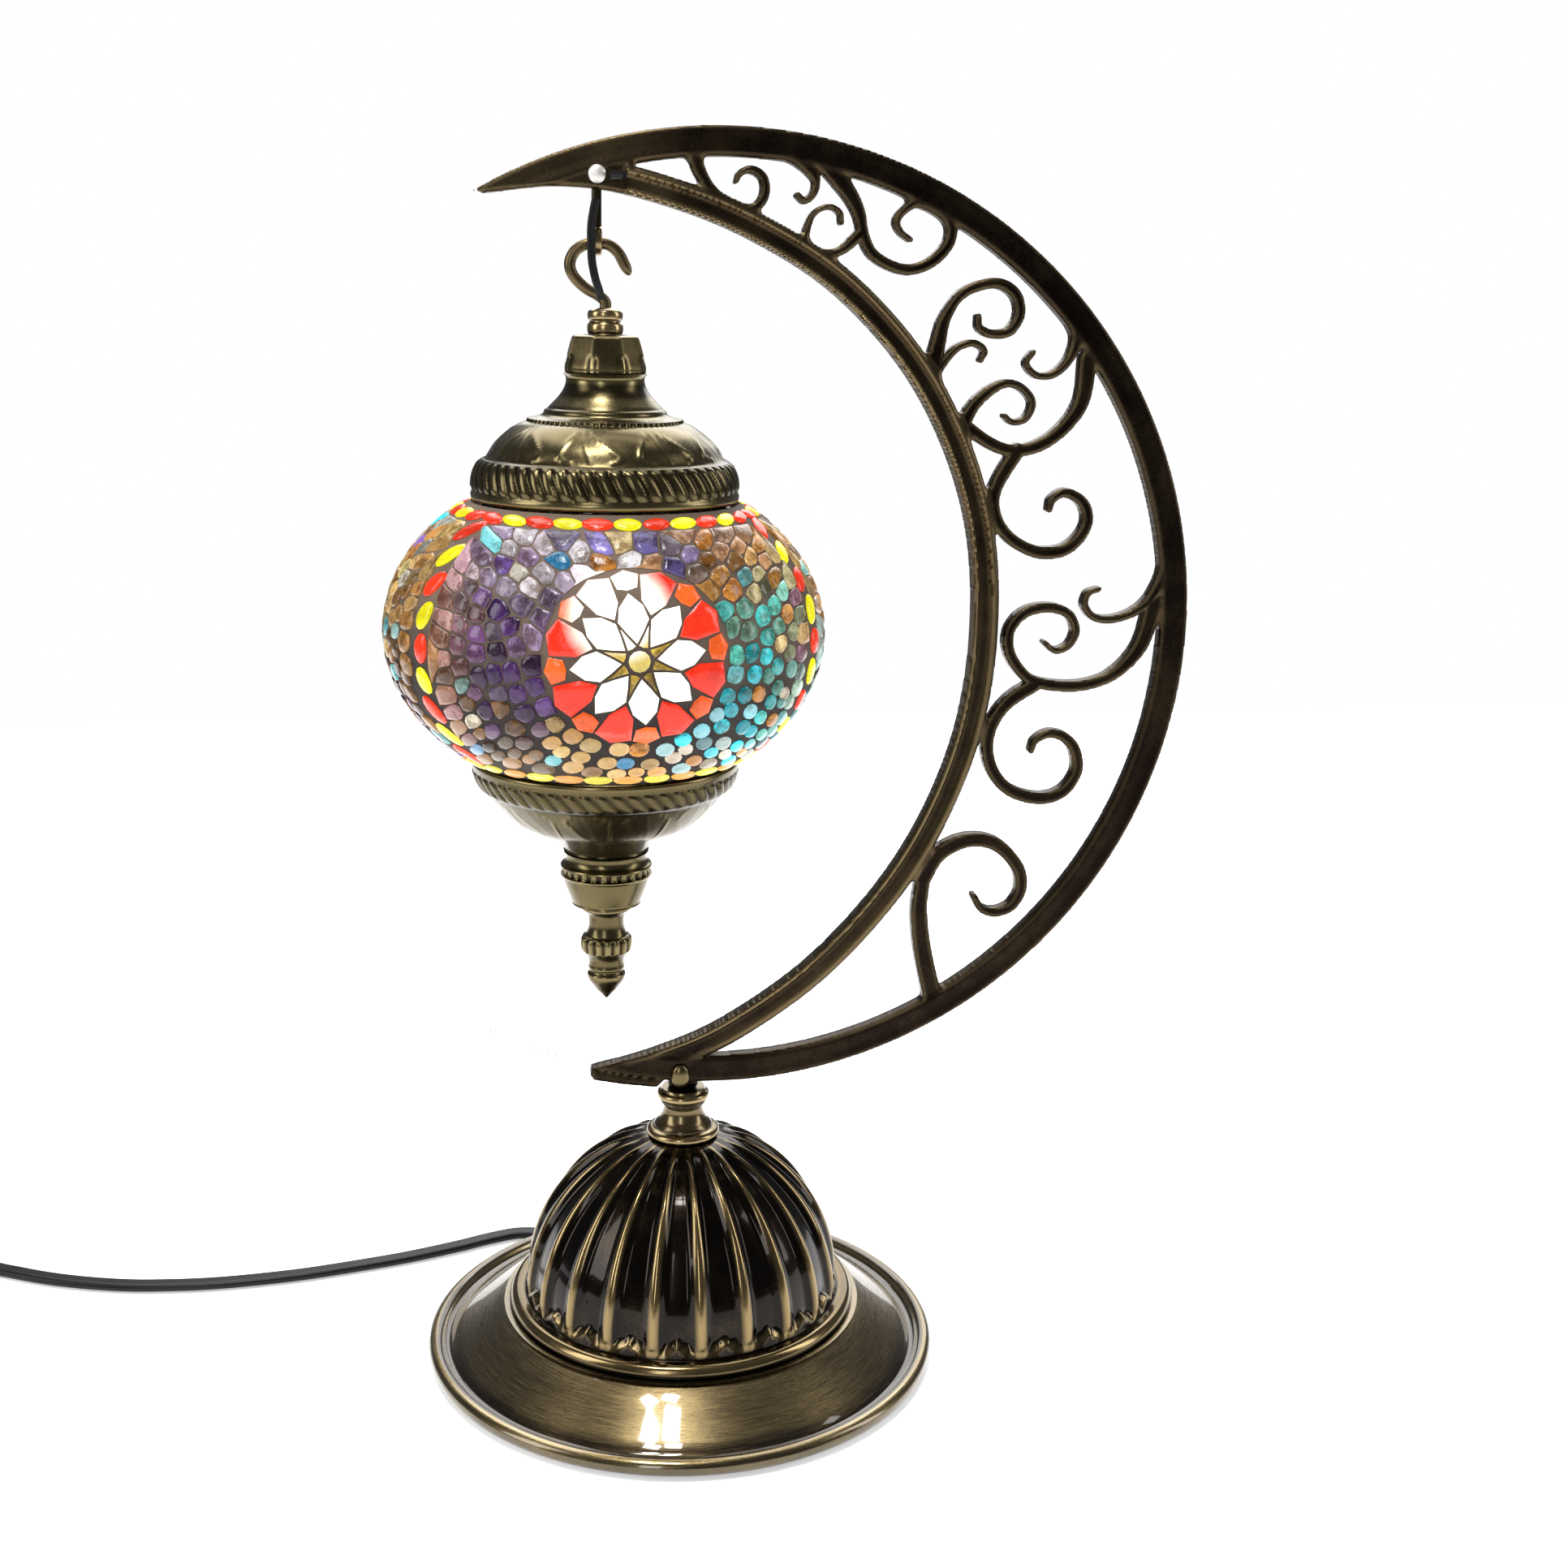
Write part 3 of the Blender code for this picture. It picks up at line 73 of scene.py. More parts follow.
# %% Signals and finishes
class Signal:
    """A value that flows between shader nodes."""

    def __init__(self, finish, socket):
        self.finish = finish
        self.socket = socket

    def math(self, operation, *others, clamp=False):
        settings = {"operation": operation, "use_clamp": clamp}
        return self.finish.add("ShaderNodeMath", settings, dict(enumerate((self, *others))))

    def __add__(self, other):
        return self.math("ADD", other)

    __radd__ = __add__

    def __sub__(self, other):
        return self.math("SUBTRACT", other)

    def __rsub__(self, other):
        return self * -1 + other

    def __mul__(self, other):
        return self.math("MULTIPLY", other)

    __rmul__ = __mul__

    def __pow__(self, other):
        return self.math("POWER", other)

    def clamp(self):
        return self.math("ADD", 0.0, clamp=True)

    def band(self, low, high):
        """0 below low, 1 above high, and smooth between."""
        settings = {"interpolation_type": "SMOOTHSTEP"}
        return self.finish.add("ShaderNodeMapRange", settings, {0: self, 1: low, 2: high})


class Finish:
    """One material: a Principled shader and the nodes that feed it."""

    def __init__(self, name, **sockets):
        self.material = bpy.data.materials.new(name)
        self.material.use_nodes = True
        self.tree = self.material.node_tree
        self.shader = self.tree.nodes["Principled BSDF"]
        self.set(**sockets)

    def add(self, kind, settings=None, inputs=None, output=0):
        node = self.tree.nodes.new(kind)
        for key, value in (settings or {}).items():
            setattr(node, key, value)
        for key, value in (inputs or {}).items():
            self.feed(node.inputs[key], value)
        return Signal(self, node.outputs[output])

    def feed(self, socket, value):
        if isinstance(value, Signal):
            self.tree.links.new(value.socket, socket)
        elif isinstance(value, tuple) and len(value) == 3 and socket.type == "RGBA":
            socket.default_value = (*value, 1.0)
        else:
            socket.default_value = value

    def set(self, **sockets):
        for key, value in sockets.items():
            self.feed(self.shader.inputs[key.replace("_", " ")], value)

    def place(self):
        return self.add("ShaderNodeTexCoord", output=3)

    def stretch(self, scale, vector=None):
        inputs = {"Vector": vector or self.place(), "Scale": scale}
        return self.add("ShaderNodeMapping", None, inputs)

    def noise(self, scale, detail=3.0, vector=None, rough=0.5):
        inputs = {"Vector": vector or self.place(), "Scale": scale, "Detail": detail,
                  "Roughness": rough}
        return self.add("ShaderNodeTexNoise", None, inputs)

    def attribute(self, name, output=2):
        return self.add("ShaderNodeAttribute", {"attribute_name": name}, None, output)

    def mix(self, factor, first, second, blend="MIX"):
        settings = {"data_type": "RGBA", "blend_type": blend}
        return self.add("ShaderNodeMix", settings, {0: factor, 6: first, 7: second}, 2)

    def bump(self, height, distance, strength=1.0):
        inputs = {"Height": height, "Distance": distance, "Strength": strength}
        return self.add("ShaderNodeBump", None, inputs)


print("shader maths ready")

# %% [markdown]
# ## Where the eye stands
#
# The camera looks at the lamp from a little above the lantern. It is set first,
# because the lead has to leave the view where the real one does.


# %% Camera
EYE = np.array((-0.05647, -0.52796, 0.30490))
HEADING = math.radians(9.082)
PITCH = math.radians(14.0)
ROLL = math.radians(1.19)
FOCAL_LENGTH = 44.72            # millimetres, on a sensor 36 mm wide

ahead = np.array((math.sin(HEADING), math.cos(HEADING), 0.0))
right = np.array((math.cos(HEADING), -math.sin(HEADING), 0.0))
forward = math.cos(PITCH) * ahead - math.sin(PITCH) * np.array((0.0, 0.0, 1.0))
lift = math.sin(PITCH) * ahead + math.cos(PITCH) * np.array((0.0, 0.0, 1.0))
camera_right = math.cos(ROLL) * right + math.sin(ROLL) * lift
camera_up = -math.sin(ROLL) * right + math.cos(ROLL) * lift

lens = bpy.data.cameras.new("eye")
lens.lens = FOCAL_LENGTH
lens.sensor_width = 36.0
lens.clip_start = 0.01
eye = bpy.data.objects.new("eye", lens)
bpy.context.scene.collection.objects.link(eye)
turn = np.eye(4)
turn[:3, 0] = camera_right
turn[:3, 1] = camera_up
turn[:3, 2] = -forward
turn[:3, 3] = EYE
eye.matrix_world = Matrix(turn.tolist())
bpy.context.scene.camera = eye
print("camera at", EYE)

# %% [markdown]
# ## Meshes from grids
#
# Nearly every piece is a profile turned round an axis or a section carried
# along a path. Both are a grid of points: rows along the profile or path, and
# columns round it. The faces of such a grid are known in advance, so whole
# arrays of corner numbers are made at once.


# %% Mesh helpers
def link_mesh(name, verts, faces, finish, body, sharp=32.0, wear_and_light=None, colour=None):
    """Put points and faces into a mesh with foreach_set. faces is a list of
    whole-number arrays, one row for each face. The number per point for wear and
    light is, on metal, 0 in a hollow and 1 on a rubbed edge; on the mosaic it is the
    glow, with a painted hot spot, and on the grout it is painted light. colour is
    three numbers per point."""
    mesh = bpy.data.meshes.new(name)
    corners = np.concatenate([f.ravel() for f in faces]).astype(np.int32)
    sizes = np.concatenate([np.full(len(f), f.shape[1]) for f in faces])
    starts = np.concatenate(([0], np.cumsum(sizes)[:-1])).astype(np.int32)
    mesh.vertices.add(len(verts))
    mesh.vertices.foreach_set("co", np.ascontiguousarray(verts, dtype=np.float32).ravel())
    mesh.loops.add(len(corners))
    mesh.loops.foreach_set("vertex_index", corners)
    mesh.polygons.add(len(sizes))
    mesh.polygons.foreach_set("loop_start", starts)
    mesh.update(calc_edges=True)
    mesh.validate()
    mesh.shade_smooth()
    mesh.set_sharp_from_angle(angle=math.radians(sharp))
    if wear_and_light is not None:
        data = mesh.attributes.new("wear_and_light", "FLOAT", "POINT")
        data.data.foreach_set("value", np.ravel(wear_and_light).astype(np.float32))
    if colour is not None:
        data = mesh.attributes.new("tint", "FLOAT_COLOR", "POINT")
        data.data.foreach_set("color", np.column_stack((colour, np.ones(len(colour)))).ravel())
    mesh.materials.append(finish.material)
    piece = bpy.data.objects.new(name, mesh)
    bpy.context.scene.collection.objects.link(piece)
    if body:
        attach(piece, body)
    return piece


def grid_faces(rows, columns, closed_rows=False):
    """Faces of a grid whose columns close into a ring, by corner number."""
    row, column = np.meshgrid(np.arange(rows if closed_rows else rows - 1),
                              np.arange(columns), indexing="ij")
    low = row * columns + column
    low_next = row * columns + (column + 1) % columns
    high = (row + 1) % rows * columns + column
    high_next = (row + 1) % rows * columns + (column + 1) % columns
    return np.stack((low, low_next, high_next, high), axis=-1).reshape(-1, 4)


def fans(sides, last, foot):
    """Triangles that close the first ring on corner foot and the ring that
    starts at corner last on corner foot + 1."""
    ring = np.arange(sides)
    after = (ring + 1) % sides
    return [np.stack((np.full(sides, foot), after, ring), axis=-1),
            np.stack((np.full(sides, foot + 1), last + ring, last + after), axis=-1)]


def circle(sides):
    """Evenly spaced turns round a circle, in radians."""
    return 2 * np.pi * np.arange(sides) / sides


def blunt(wave, power):
    """A sine or cosine drawn out towards 1 or -1 by a power of its size."""
    return np.sign(wave) * np.abs(wave) ** power


def spin_by(heading):
    """The turn of the plane's axes to a heading, as a matrix."""
    return np.array(((math.cos(heading), -math.sin(heading), 0),
                     (math.sin(heading), math.cos(heading), 0), (0, 0, 1)))


def flow(knots, steps):
    """A smooth curve through the knots: on each span the cubic whose slope at a
    knot is half the step between that knot's neighbours."""
    rows = np.asarray(knots, dtype=float)
    rows = np.vstack((2 * rows[:1] - rows[1:2], rows, 2 * rows[-1:] - rows[-2:-1]))
    t = (np.arange(steps) / steps)[None, :, None]
    a, b, c, d = (rows[n:len(rows) - 3 + n][:, None, :] for n in range(4))
    curve = 0.5 * (2 * b + (c - a) * t + (2 * a - 5 * b + 4 * c - d) * t ** 2
                   + (3 * b - a - 3 * c + d) * t ** 3)
    return np.vstack((curve.reshape(-1, rows.shape[1]), rows[-2:-1]))


def turned(name, profile, finish, body, sides=128, at=0.0, shape=None, sharp=32.0,
           wear_and_light=None):
    """Turn a profile of (radius, height) in millimetres round the vertical at x =
    at. The profile runs up the outside, from axis to axis, or is a closed loop.
    shape(radius, height, turn) may move each point of the grid; it gives back
    radius, height and each point's number for wear and painted light."""
    profile = np.asarray(profile, dtype=float)
    solid = profile[0, 0] == 0 and profile[-1, 0] == 0
    body_rows = profile[1:-1] if solid else profile
    angle = circle(sides)
    radius = np.repeat(body_rows[:, :1], sides, axis=1)
    height = np.repeat(body_rows[:, 1:], sides, axis=1)
    rub = np.full(radius.shape, 0.0 if wear_and_light is None else wear_and_light)
    if shape:
        radius, height, rub = shape(radius, height, np.broadcast_to(angle, radius.shape))
    verts = np.stack((at + radius * np.cos(angle), radius * np.sin(angle), height),
                     axis=-1).reshape(-1, 3)
    faces = [grid_faces(len(body_rows), sides, closed_rows=not solid)]
    rub = rub.ravel()
    if solid:
        faces += fans(sides, (len(body_rows) - 1) * sides, len(verts))
        poles = ((at, 0, profile[0, 1]), (at, 0, profile[-1, 1]))
        verts = np.vstack((verts, poles))
        rub = np.append(rub, (rub[0], rub[-1]))
    return link_mesh(name, verts * MM, faces, finish, body, sharp, rub)


def swept(name, path, section, finish, body, up=(0, 0, 1), size=None, sharp=40.0,
          wear_and_light=None):
    """Carry a section of (side, up) offsets along a path, all in millimetres.
    The side direction is square to the path and to up; size scales each ring.
    Both ends are closed with a fan."""
    path = np.asarray(path, dtype=float)
    section = np.asarray(section, dtype=float)
    way = np.gradient(path, axis=0)
    way /= np.linalg.norm(way, axis=1, keepdims=True)
    side = np.cross(way, np.asarray(up, dtype=float))
    side /= np.linalg.norm(side, axis=1, keepdims=True)
    over = np.cross(side, way)
    scale = np.ones(len(path)) if size is None else np.asarray(size)
    verts = (path[:, None, :]
             + scale[:, None, None] * (section[None, :, :1] * side[:, None, :]
                                       + section[None, :, 1:] * over[:, None, :]))
    count = len(section)
    faces = [grid_faces(len(path), count)[:, ::-1]]
    total = len(path) * count
    faces += [fan[:, (0, 2, 1)] for fan in fans(count, total - count, total)]
    verts = np.vstack((verts.reshape(-1, 3), path[:1], path[-1:]))
    rub = None if wear_and_light is None else np.full(len(verts), wear_and_light)
    return link_mesh(name, verts * MM, faces, finish, body, sharp, rub)


def ring_section(radius, sides=20):
    """A circle of (side, up) points."""
    angle = circle(sides)
    return np.column_stack((radius * np.cos(angle), radius * np.sin(angle)))


print("mesh helpers ready")

# %% [markdown]
# ## Finishes
#
# Old brass is dark brown where dirt and lacquer gather, and golden where hands
# and cloths rub it. Each mesh carries a number called worn for that: the shader
# mixes the two colours by it, and breaks the border up with noise. Fine noise
# in the bump keeps the reflections from looking like plastic.


# %% Metals
def old_brass(name, hollow, rubbed, rough, coat=0.0, grain=0.00001, cloudy=0.3):
    """Patinated metal: hollow colour at worn 0, rubbed colour at worn 1."""
    finish = Finish(name, Metallic=1.0, Coat_Weight=coat, Coat_Roughness=0.06)
    wear_and_light = finish.attribute("wear_and_light")
    cloud = finish.noise(70.0, 5.0, rough=0.6)
    speck = finish.noise(1400.0, 3.0)
    share = (wear_and_light + (cloud - 0.5) * cloudy + (speck - 0.5) * 0.12).clamp()
    tone = finish.mix((cloud - 0.35).clamp(), hollow, tuple(0.6 * c for c in hollow))
    finish.set(Base_Color=finish.mix(share, tone, rubbed),
               Roughness=(speck - 0.5) * 0.1 + (cloud - 0.5) * 0.16 + rough,
               Normal=finish.bump(speck, grain))
    return finish


lacquered = old_brass("lacquered_brass", (0.007, 0.0045, 0.003), (0.32, 0.23, 0.10), 0.2, coat=0.3)
dark_gold = old_brass("dark_gold", (0.040, 0.028, 0.013), (0.38, 0.28, 0.13), 0.24, coat=0.4)
cast_bronze = old_brass("cast_bronze", (0.012, 0.008, 0.006), (0.21, 0.155, 0.078), 0.36,
                        grain=0.00005, cloudy=0.35)
antique = old_brass("antique_brass", (0.028, 0.022, 0.011), (0.28, 0.225, 0.108), 0.25)


def brushed_brass():
    """Brass spun on a lathe: fine rings round the vertical axis, drawn by noise
    on the distance from the axis, and lacquer over them."""
    finish = Finish("brushed_brass", Metallic=1.0, Coat_Weight=1.0, Coat_Roughness=0.05)
    point = finish.place()
    split = {0: point}
    x = finish.add("ShaderNodeSeparateXYZ", None, split, 0)
    y = finish.add("ShaderNodeSeparateXYZ", None, split, 1)
    radius = (x * x + y * y) ** 0.5
    angle = y.math("ARCTAN2", x)
    rings = finish.add("ShaderNodeCombineXYZ", None, {0: radius, 1: angle * 0.0022})
    line = finish.noise(2600.0, 4.0, rings, 0.7)
    sweep = finish.noise(420.0, 2.0, rings)
    cloud = finish.noise(30.0, 2.0)
    wear_and_light = finish.attribute("wear_and_light")
    share = (wear_and_light + (line - 0.5) * 0.55 + (sweep - 0.5) * 0.35 + (cloud - 0.5) * 0.3).clamp()
    finish.set(Base_Color=finish.mix(share, (0.020, 0.013, 0.006), (0.32, 0.24, 0.11)),
               Roughness=(line - 0.5) * 0.3 + 0.27,
               Normal=finish.bump(line, 0.00006))
    return finish


def plain_metal(name, colour, rough):
    """A plated or bare metal with faint stains."""
    finish = Finish(name, Metallic=1.0)
    cloud = finish.noise(300.0, 4.0)
    dull = tuple(0.7 * c for c in colour)
    finish.set(Base_Color=finish.mix(cloud, colour, dull), Roughness=cloud * 0.25 + rough,
               Normal=finish.bump(cloud, 0.00002))
    return finish


spun = brushed_brass()
zinc = plain_metal("zinc_steel", (0.60, 0.60, 0.57), 0.22)
nickel = plain_metal("pin_nickel", (0.92, 0.90, 0.86), 0.42)
iron = plain_metal("weight_iron", (0.09, 0.085, 0.08), 0.55)
shell_brass = plain_metal("shell_brass", (0.70, 0.52, 0.24), 0.22)
tungsten = Finish("hot_filament", Metallic=0.0, Emission_Strength=30.0)
hot = tungsten.noise(900.0, 2.0)
tungsten.set(Base_Color=(0.9, 0.7, 0.4),
             Emission_Color=tungsten.mix(hot, (1.0, 0.62, 0.25), (1.0, 0.80, 0.45)))
print("metals ready")


# %% Plastics, felt and glass
def moulded(name, colour, rough, texture, distance, gloss=0.5):
    """Moulded plastic with a fine surface texture."""
    finish = Finish(name, Specular_IOR_Level=gloss)
    speck = finish.noise(texture, 3.0)
    cloud = finish.noise(60.0, 3.0)
    finish.set(Base_Color=finish.mix(cloud, colour, tuple(1.7 * c for c in colour)),
               Roughness=(cloud - 0.5) * 0.15 + rough, Normal=finish.bump(speck, distance))
    return finish


jacket = moulded("lead_jacket", (0.003, 0.003, 0.0035), 0.38, 900.0, 0.00002, 0.25)
plug_black = moulded("plug_black", (0.012, 0.012, 0.013), 0.42, 2600.0, 0.00003)
phenolic = moulded("phenolic", (0.035, 0.028, 0.024), 0.38, 1200.0, 0.00002)

felt = Finish("black_felt", Sheen_Weight=0.5, Sheen_Roughness=0.5)
hairs = felt.noise(1600.0, 6.0, felt.stretch((1.0, 1.0, 0.2)), 0.75)
felt.set(Base_Color=felt.mix(hairs, (0.010, 0.010, 0.011), (0.045, 0.044, 0.046)),
         Roughness=0.95, Normal=felt.bump(hairs, 0.0004))

clear_glass = Finish("clear_glass", Transmission_Weight=1.0, IOR=1.5)
seeds = clear_glass.noise(120.0, 2.0)
clear_glass.set(Base_Color=(0.97, 0.97, 0.95), Roughness=seeds * 0.08 + 0.02,
                Normal=clear_glass.bump(seeds, 0.0002))

bulb_white = Finish("lit_bulb", Emission_Strength=4.0)
bulb_cloud = bulb_white.noise(60.0, 2.0)
bulb_white.set(Base_Color=(0.95, 0.92, 0.85), Roughness=0.25,
               Emission_Color=bulb_white.mix(bulb_cloud, (1.0, 0.86, 0.62), (1.0, 0.93, 0.78)))
print("plastics and glass ready")

# %% [markdown]
# ## The pieces that the CAD already has right
#
# Nuts, washers, the stem and the socket hide inside, and their plain turned
# shapes are the real ones. They stay, and only get a finish.

# %% Finishes on the carried-over pieces
CARRIED = {
    "felt_pad": felt, "base_weight": iron, "stem_tube": zinc, "stem_nut": zinc,
    "stem_washer": zinc, "pin_nut": zinc, "inner_lead": jacket, "nipple": zinc,
    "cap_nut": zinc, "socket_body": phenolic, "socket_shell": shell_brass,
    "socket_contact": shell_brass, "globe_clip_1": zinc, "globe_clip_2": zinc,
    "globe_clip_3": zinc, "glass_globe": clear_glass, "finial_stud": zinc, "stud_nut": zinc,
    "bulb_contact": zinc, "filament": tungsten, "switch_screw_1": zinc,
    "switch_screw_2": zinc,
}


def node_object(node):
    """The object of a CAD node."""
    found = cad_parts[node]
    return found if hasattr(found, "material_slots") else bpy.data.objects[found]


def give_finish(node, finish):
    obj = node_object(node)
    if not obj.material_slots:
        obj.data.materials.append(finish.material)
    for slot in obj.material_slots:
        slot.material = finish.material


for node, finish in CARRIED.items():
    give_finish(node, finish)
print(len(CARRIED), "carried-over pieces have finishes")

# %% [markdown]
# ## The lead
#
# A lamp's flat twin lead is two round cores side by side in one jacket, so its
# section is two circles joined by a web. It leaves the foot at the back through
# a strain relief, lies on the table in a slack curve, goes through the in-line
# switch, and its spare length is wound in a coil with a tie, ready to be put
# away. The real lead is 1.8 m long; drawn, it comes out a little shorter.

# %% The lead's route
LEAD_WIDTH = 5.4
LEAD_THICK = 2.8
LEAD_MOUTH = (-36.0, 66.5)
LEAD_HEADING = math.radians(150.0)
TO_SWITCH = [(-39.5, 68.5), (-47.5, 69.6), (-56.5, 67.0), (-67.0, 62.6), (-83.0, 57.0),
             (-100.0, 52.6), (-116.0, 49.2), (-132.0, 47.2), (-145.0, 46.5), (-157.0, 47.0),
             (-168.0, 48.2), (-180.0, 51.0), (-192.0, 55.0), (-203.0, 60.0), (-214.0, 66.0)]
TO_COIL = [(-284.0, 105.5), (-294.0, 107.0), (-304.0, 103.0), (-310.0, 94.0),
           (-311.0, 82.0), (-308.0, 68.0), (-304.0, 54.0), (-301.2, 41.6)]
LEAD_TAIL = [(-280.3, -3.0, 1.8), (-271.5, -11.0, 1.8), (-262.0, -16.6, 1.9),
             (-252.5, -20.0, 3.0), (-245.0, -23.2, 4.8), (-237.7, -29.1, 6.2)]
COIL_CENTRE = (-262.0, 33.0)
COIL_MIDDLE = 31.7
SWITCH_AT = np.array((-252.5, 88.0, 8.05))
SWITCH_SIZE = (52.0, 23.0, 15.5)
SWITCH_ENTRY = 5.0
PLUG_AT = np.array((-226.0, -39.5, 6.2))
PLUG_SIZE = (30.0, 20.0, 12.0)
PLUG_HEADING = math.radians(318.0)
LIE = 1.75                      # height of the lead's middle on the table

way = np.array((math.cos(LEAD_HEADING), math.sin(LEAD_HEADING), 0.0))
mouth = np.array((*LEAD_MOUTH, 0.0))
near = SWITCH_AT - way * (SWITCH_SIZE[0] / 2)
far = SWITCH_AT + way * (SWITCH_SIZE[0] / 2)
start = mouth - way * 15.0 + np.array((0.0, 0.0, 2.6))
route = [start, mouth - way * 6.0 + (0, 0, 2.4), mouth + (0, 0, 2.2)]
route += [(x, y, LIE) for x, y in TO_SWITCH]
route += [(*(near - way * 6)[:2], SWITCH_ENTRY - 0.6), (*near[:2], SWITCH_ENTRY),
          (*SWITCH_AT[:2], SWITCH_ENTRY), (*far[:2], SWITCH_ENTRY),
          (*(far + way * 5)[:2], SWITCH_ENTRY - 0.5)]
route += [(x, y, LIE) for x, y in TO_COIL]
route = flow(route, 4)


# The coil. Seen in the bundle's section, each turn of the lead has its own place,
# (distance outwards, height). The lead slides from one place to the next once a
# turn, and the last turn slides out to meet the tail.
PLACES = np.array([(8.43, 1.75), (3.0, 1.75), (-3.0, 1.75), (-3.0, 4.65), (3.0, 4.65),
                   (3.0, 7.55), (-3.0, 7.55), (0.6, 10.4), (8.68, 1.8)])
COIL_TURNS = 7
COIL_POINTS = 102
TIE_TURN = math.radians(60.0)
FIRST_SLIDE = 0.7               # half the turn, in radians, that each slide takes
SLIDE = 0.87
LAST_SLIDE = 0.55
begin = math.atan2(TO_COIL[-1][1] - COIL_CENTRE[1], TO_COIL[-1][0] - COIL_CENTRE[0])
leave = math.atan2(LEAD_TAIL[0][1] - COIL_CENTRE[1], LEAD_TAIL[0][0] - COIL_CENTRE[0])
sweep = 2 * math.pi * (COIL_TURNS - 1) + (leave - begin) % (2 * math.pi)
print("coil sweep in turns:", round(sweep / (2 * math.pi), 2))
coil_turn = begin + sweep * np.arange(1, COIL_POINTS) / COIL_POINTS
changes = np.concatenate(([begin + FIRST_SLIDE], TIE_TURN + 2 * np.pi * np.arange(1, COIL_TURNS),
                          [begin + sweep - LAST_SLIDE]))
spans = np.concatenate(([FIRST_SLIDE], np.full(COIL_TURNS - 1, SLIDE), [LAST_SLIDE]))
step = np.clip((coil_turn[:, None] - changes + spans) / (2 * spans), 0.0, 1.0)
step = step * step * (3 - 2 * step)
spot = PLACES[0] + step @ np.diff(PLACES, axis=0)
coil = np.column_stack((COIL_CENTRE[0] + (COIL_MIDDLE + spot[:, 0]) * np.cos(coil_turn),
                        COIL_CENTRE[1] + (COIL_MIDDLE + spot[:, 0]) * np.sin(coil_turn),
                        spot[:, 1]))
plug_way = np.array((math.cos(PLUG_HEADING), math.sin(PLUG_HEADING), 0.0))
plug_back = PLUG_AT - plug_way * (PLUG_SIZE[0] / 2 - 1.0)
lead_path = flow(np.vstack((route, coil, LEAD_TAIL, [plug_back])), 4)
lead_length = float(np.linalg.norm(np.diff(lead_path, axis=0), axis=1).sum())
print("lead: %.3f m in %d rings" % (lead_length * MM, len(lead_path)))


# %% The lead's mesh
def twin_section(width, thick, sides=20):
    """A flat twin lead: an oval of width by thick with blunt sides, pinched in
    the middle where the web joins its two halves."""
    angle = circle(sides)
    side = width / 2 * blunt(np.cos(angle), 0.8)
    rise = thick / 2 * blunt(np.sin(angle), 0.75)
    return np.column_stack((side, rise * (1 - 0.28 * np.exp(-(side / 0.5) ** 2))))


lead = swept("flat_lead", lead_path, twin_section(LEAD_WIDTH, LEAD_THICK), jacket, "stand")

# %% [markdown]
# The strain relief is a tapered rubber sleeve with rings, so the lead can't be
# bent sharply where it leaves the foot. The tie is a flat strap round the
# coil's bundle.


# %% Strain relief and tie
count = 60
along = np.linspace(0.0, 1.0, count)
sleeve_path = (mouth - way * 19.0 + (0, 0, 2.75)) * (1 - along[:, None]) \
    + (mouth + way * 5.0 + (0, 0, 2.15)) * along[:, None]
rings = 1.0 + 0.05 * np.sign(np.sin(along * 2 * np.pi * 7))
taper = (1.0 - 0.16 * along) * np.where((along > 0.15) & (along < 0.95), rings, 1.0)
sleeve = swept("strain_sleeve", sleeve_path, twin_section(6.7, 4.3, 24), plug_black, "stand",
               size=taper)

tie_middle = np.array((COIL_CENTRE[0] + COIL_MIDDLE * math.cos(TIE_TURN),
                       COIL_CENTRE[1] + COIL_MIDDLE * math.sin(TIE_TURN), 6.75))
outward = np.array((math.cos(TIE_TURN), math.sin(TIE_TURN), 0.0))
STRAP_POINTS = 48
angle = circle(STRAP_POINTS)
loop_out = 6.4 * blunt(np.cos(angle), 0.45)
loop_up = 6.2 * blunt(np.sin(angle), 0.45)
loop = tie_middle + loop_out[:, None] * outward + loop_up[:, None] * np.array((0, 0, 1.0))
tangent = np.array((-outward[1], outward[0], 0.0))
inwards = tie_middle - loop
inwards /= np.linalg.norm(inwards, axis=1, keepdims=True)
STRAP = ((-2.2, 0.0), (2.2, 0.0), (2.2, 0.5), (-2.2, 0.5))
strap = np.stack([loop + a * tangent + b * inwards for a, b in STRAP], axis=1)
tie = link_mesh("coil_strap", strap.reshape(-1, 3) * MM,
                [grid_faces(STRAP_POINTS, len(STRAP), closed_rows=True)[:, ::-1]], plug_black,
                "stand")


# %% [markdown]
# ## Switch and plug
#
# Moulded pieces have no sharp edges. A box with a live Bevel is enough for the
# small ones; the switch's cover is a height map, so that its well and its
# rounded shoulders are one surface.


# %% Boxes and height maps
def soft_box(name, size, at, heading, finish, body, round_by, tilt=0.0):
    """A box with a Bevel modifier, its length along heading."""
    half = np.array(size) / 2
    corners = np.array([(x, y, z) for z in (-1, 1) for y in (-1, 1) for x in (-1, 1)]) * half
    lean = np.array(((math.cos(tilt), 0, math.sin(tilt)), (0, 1, 0),
                     (-math.sin(tilt), 0, math.cos(tilt))))
    verts = corners @ lean.T @ spin_by(heading).T + np.asarray(at)
    faces = np.array(((0, 2, 3, 1), (4, 5, 7, 6), (0, 1, 5, 4), (2, 6, 7, 3), (0, 4, 6, 2),
                      (1, 3, 7, 5)))
    piece = link_mesh(name, verts * MM, [faces], finish, body, sharp=180.0)
    bevel = piece.modifiers.new("rounding", "BEVEL")
    bevel.width = round_by * MM
    bevel.segments = 4
    bevel.limit_method = "NONE"
    return piece


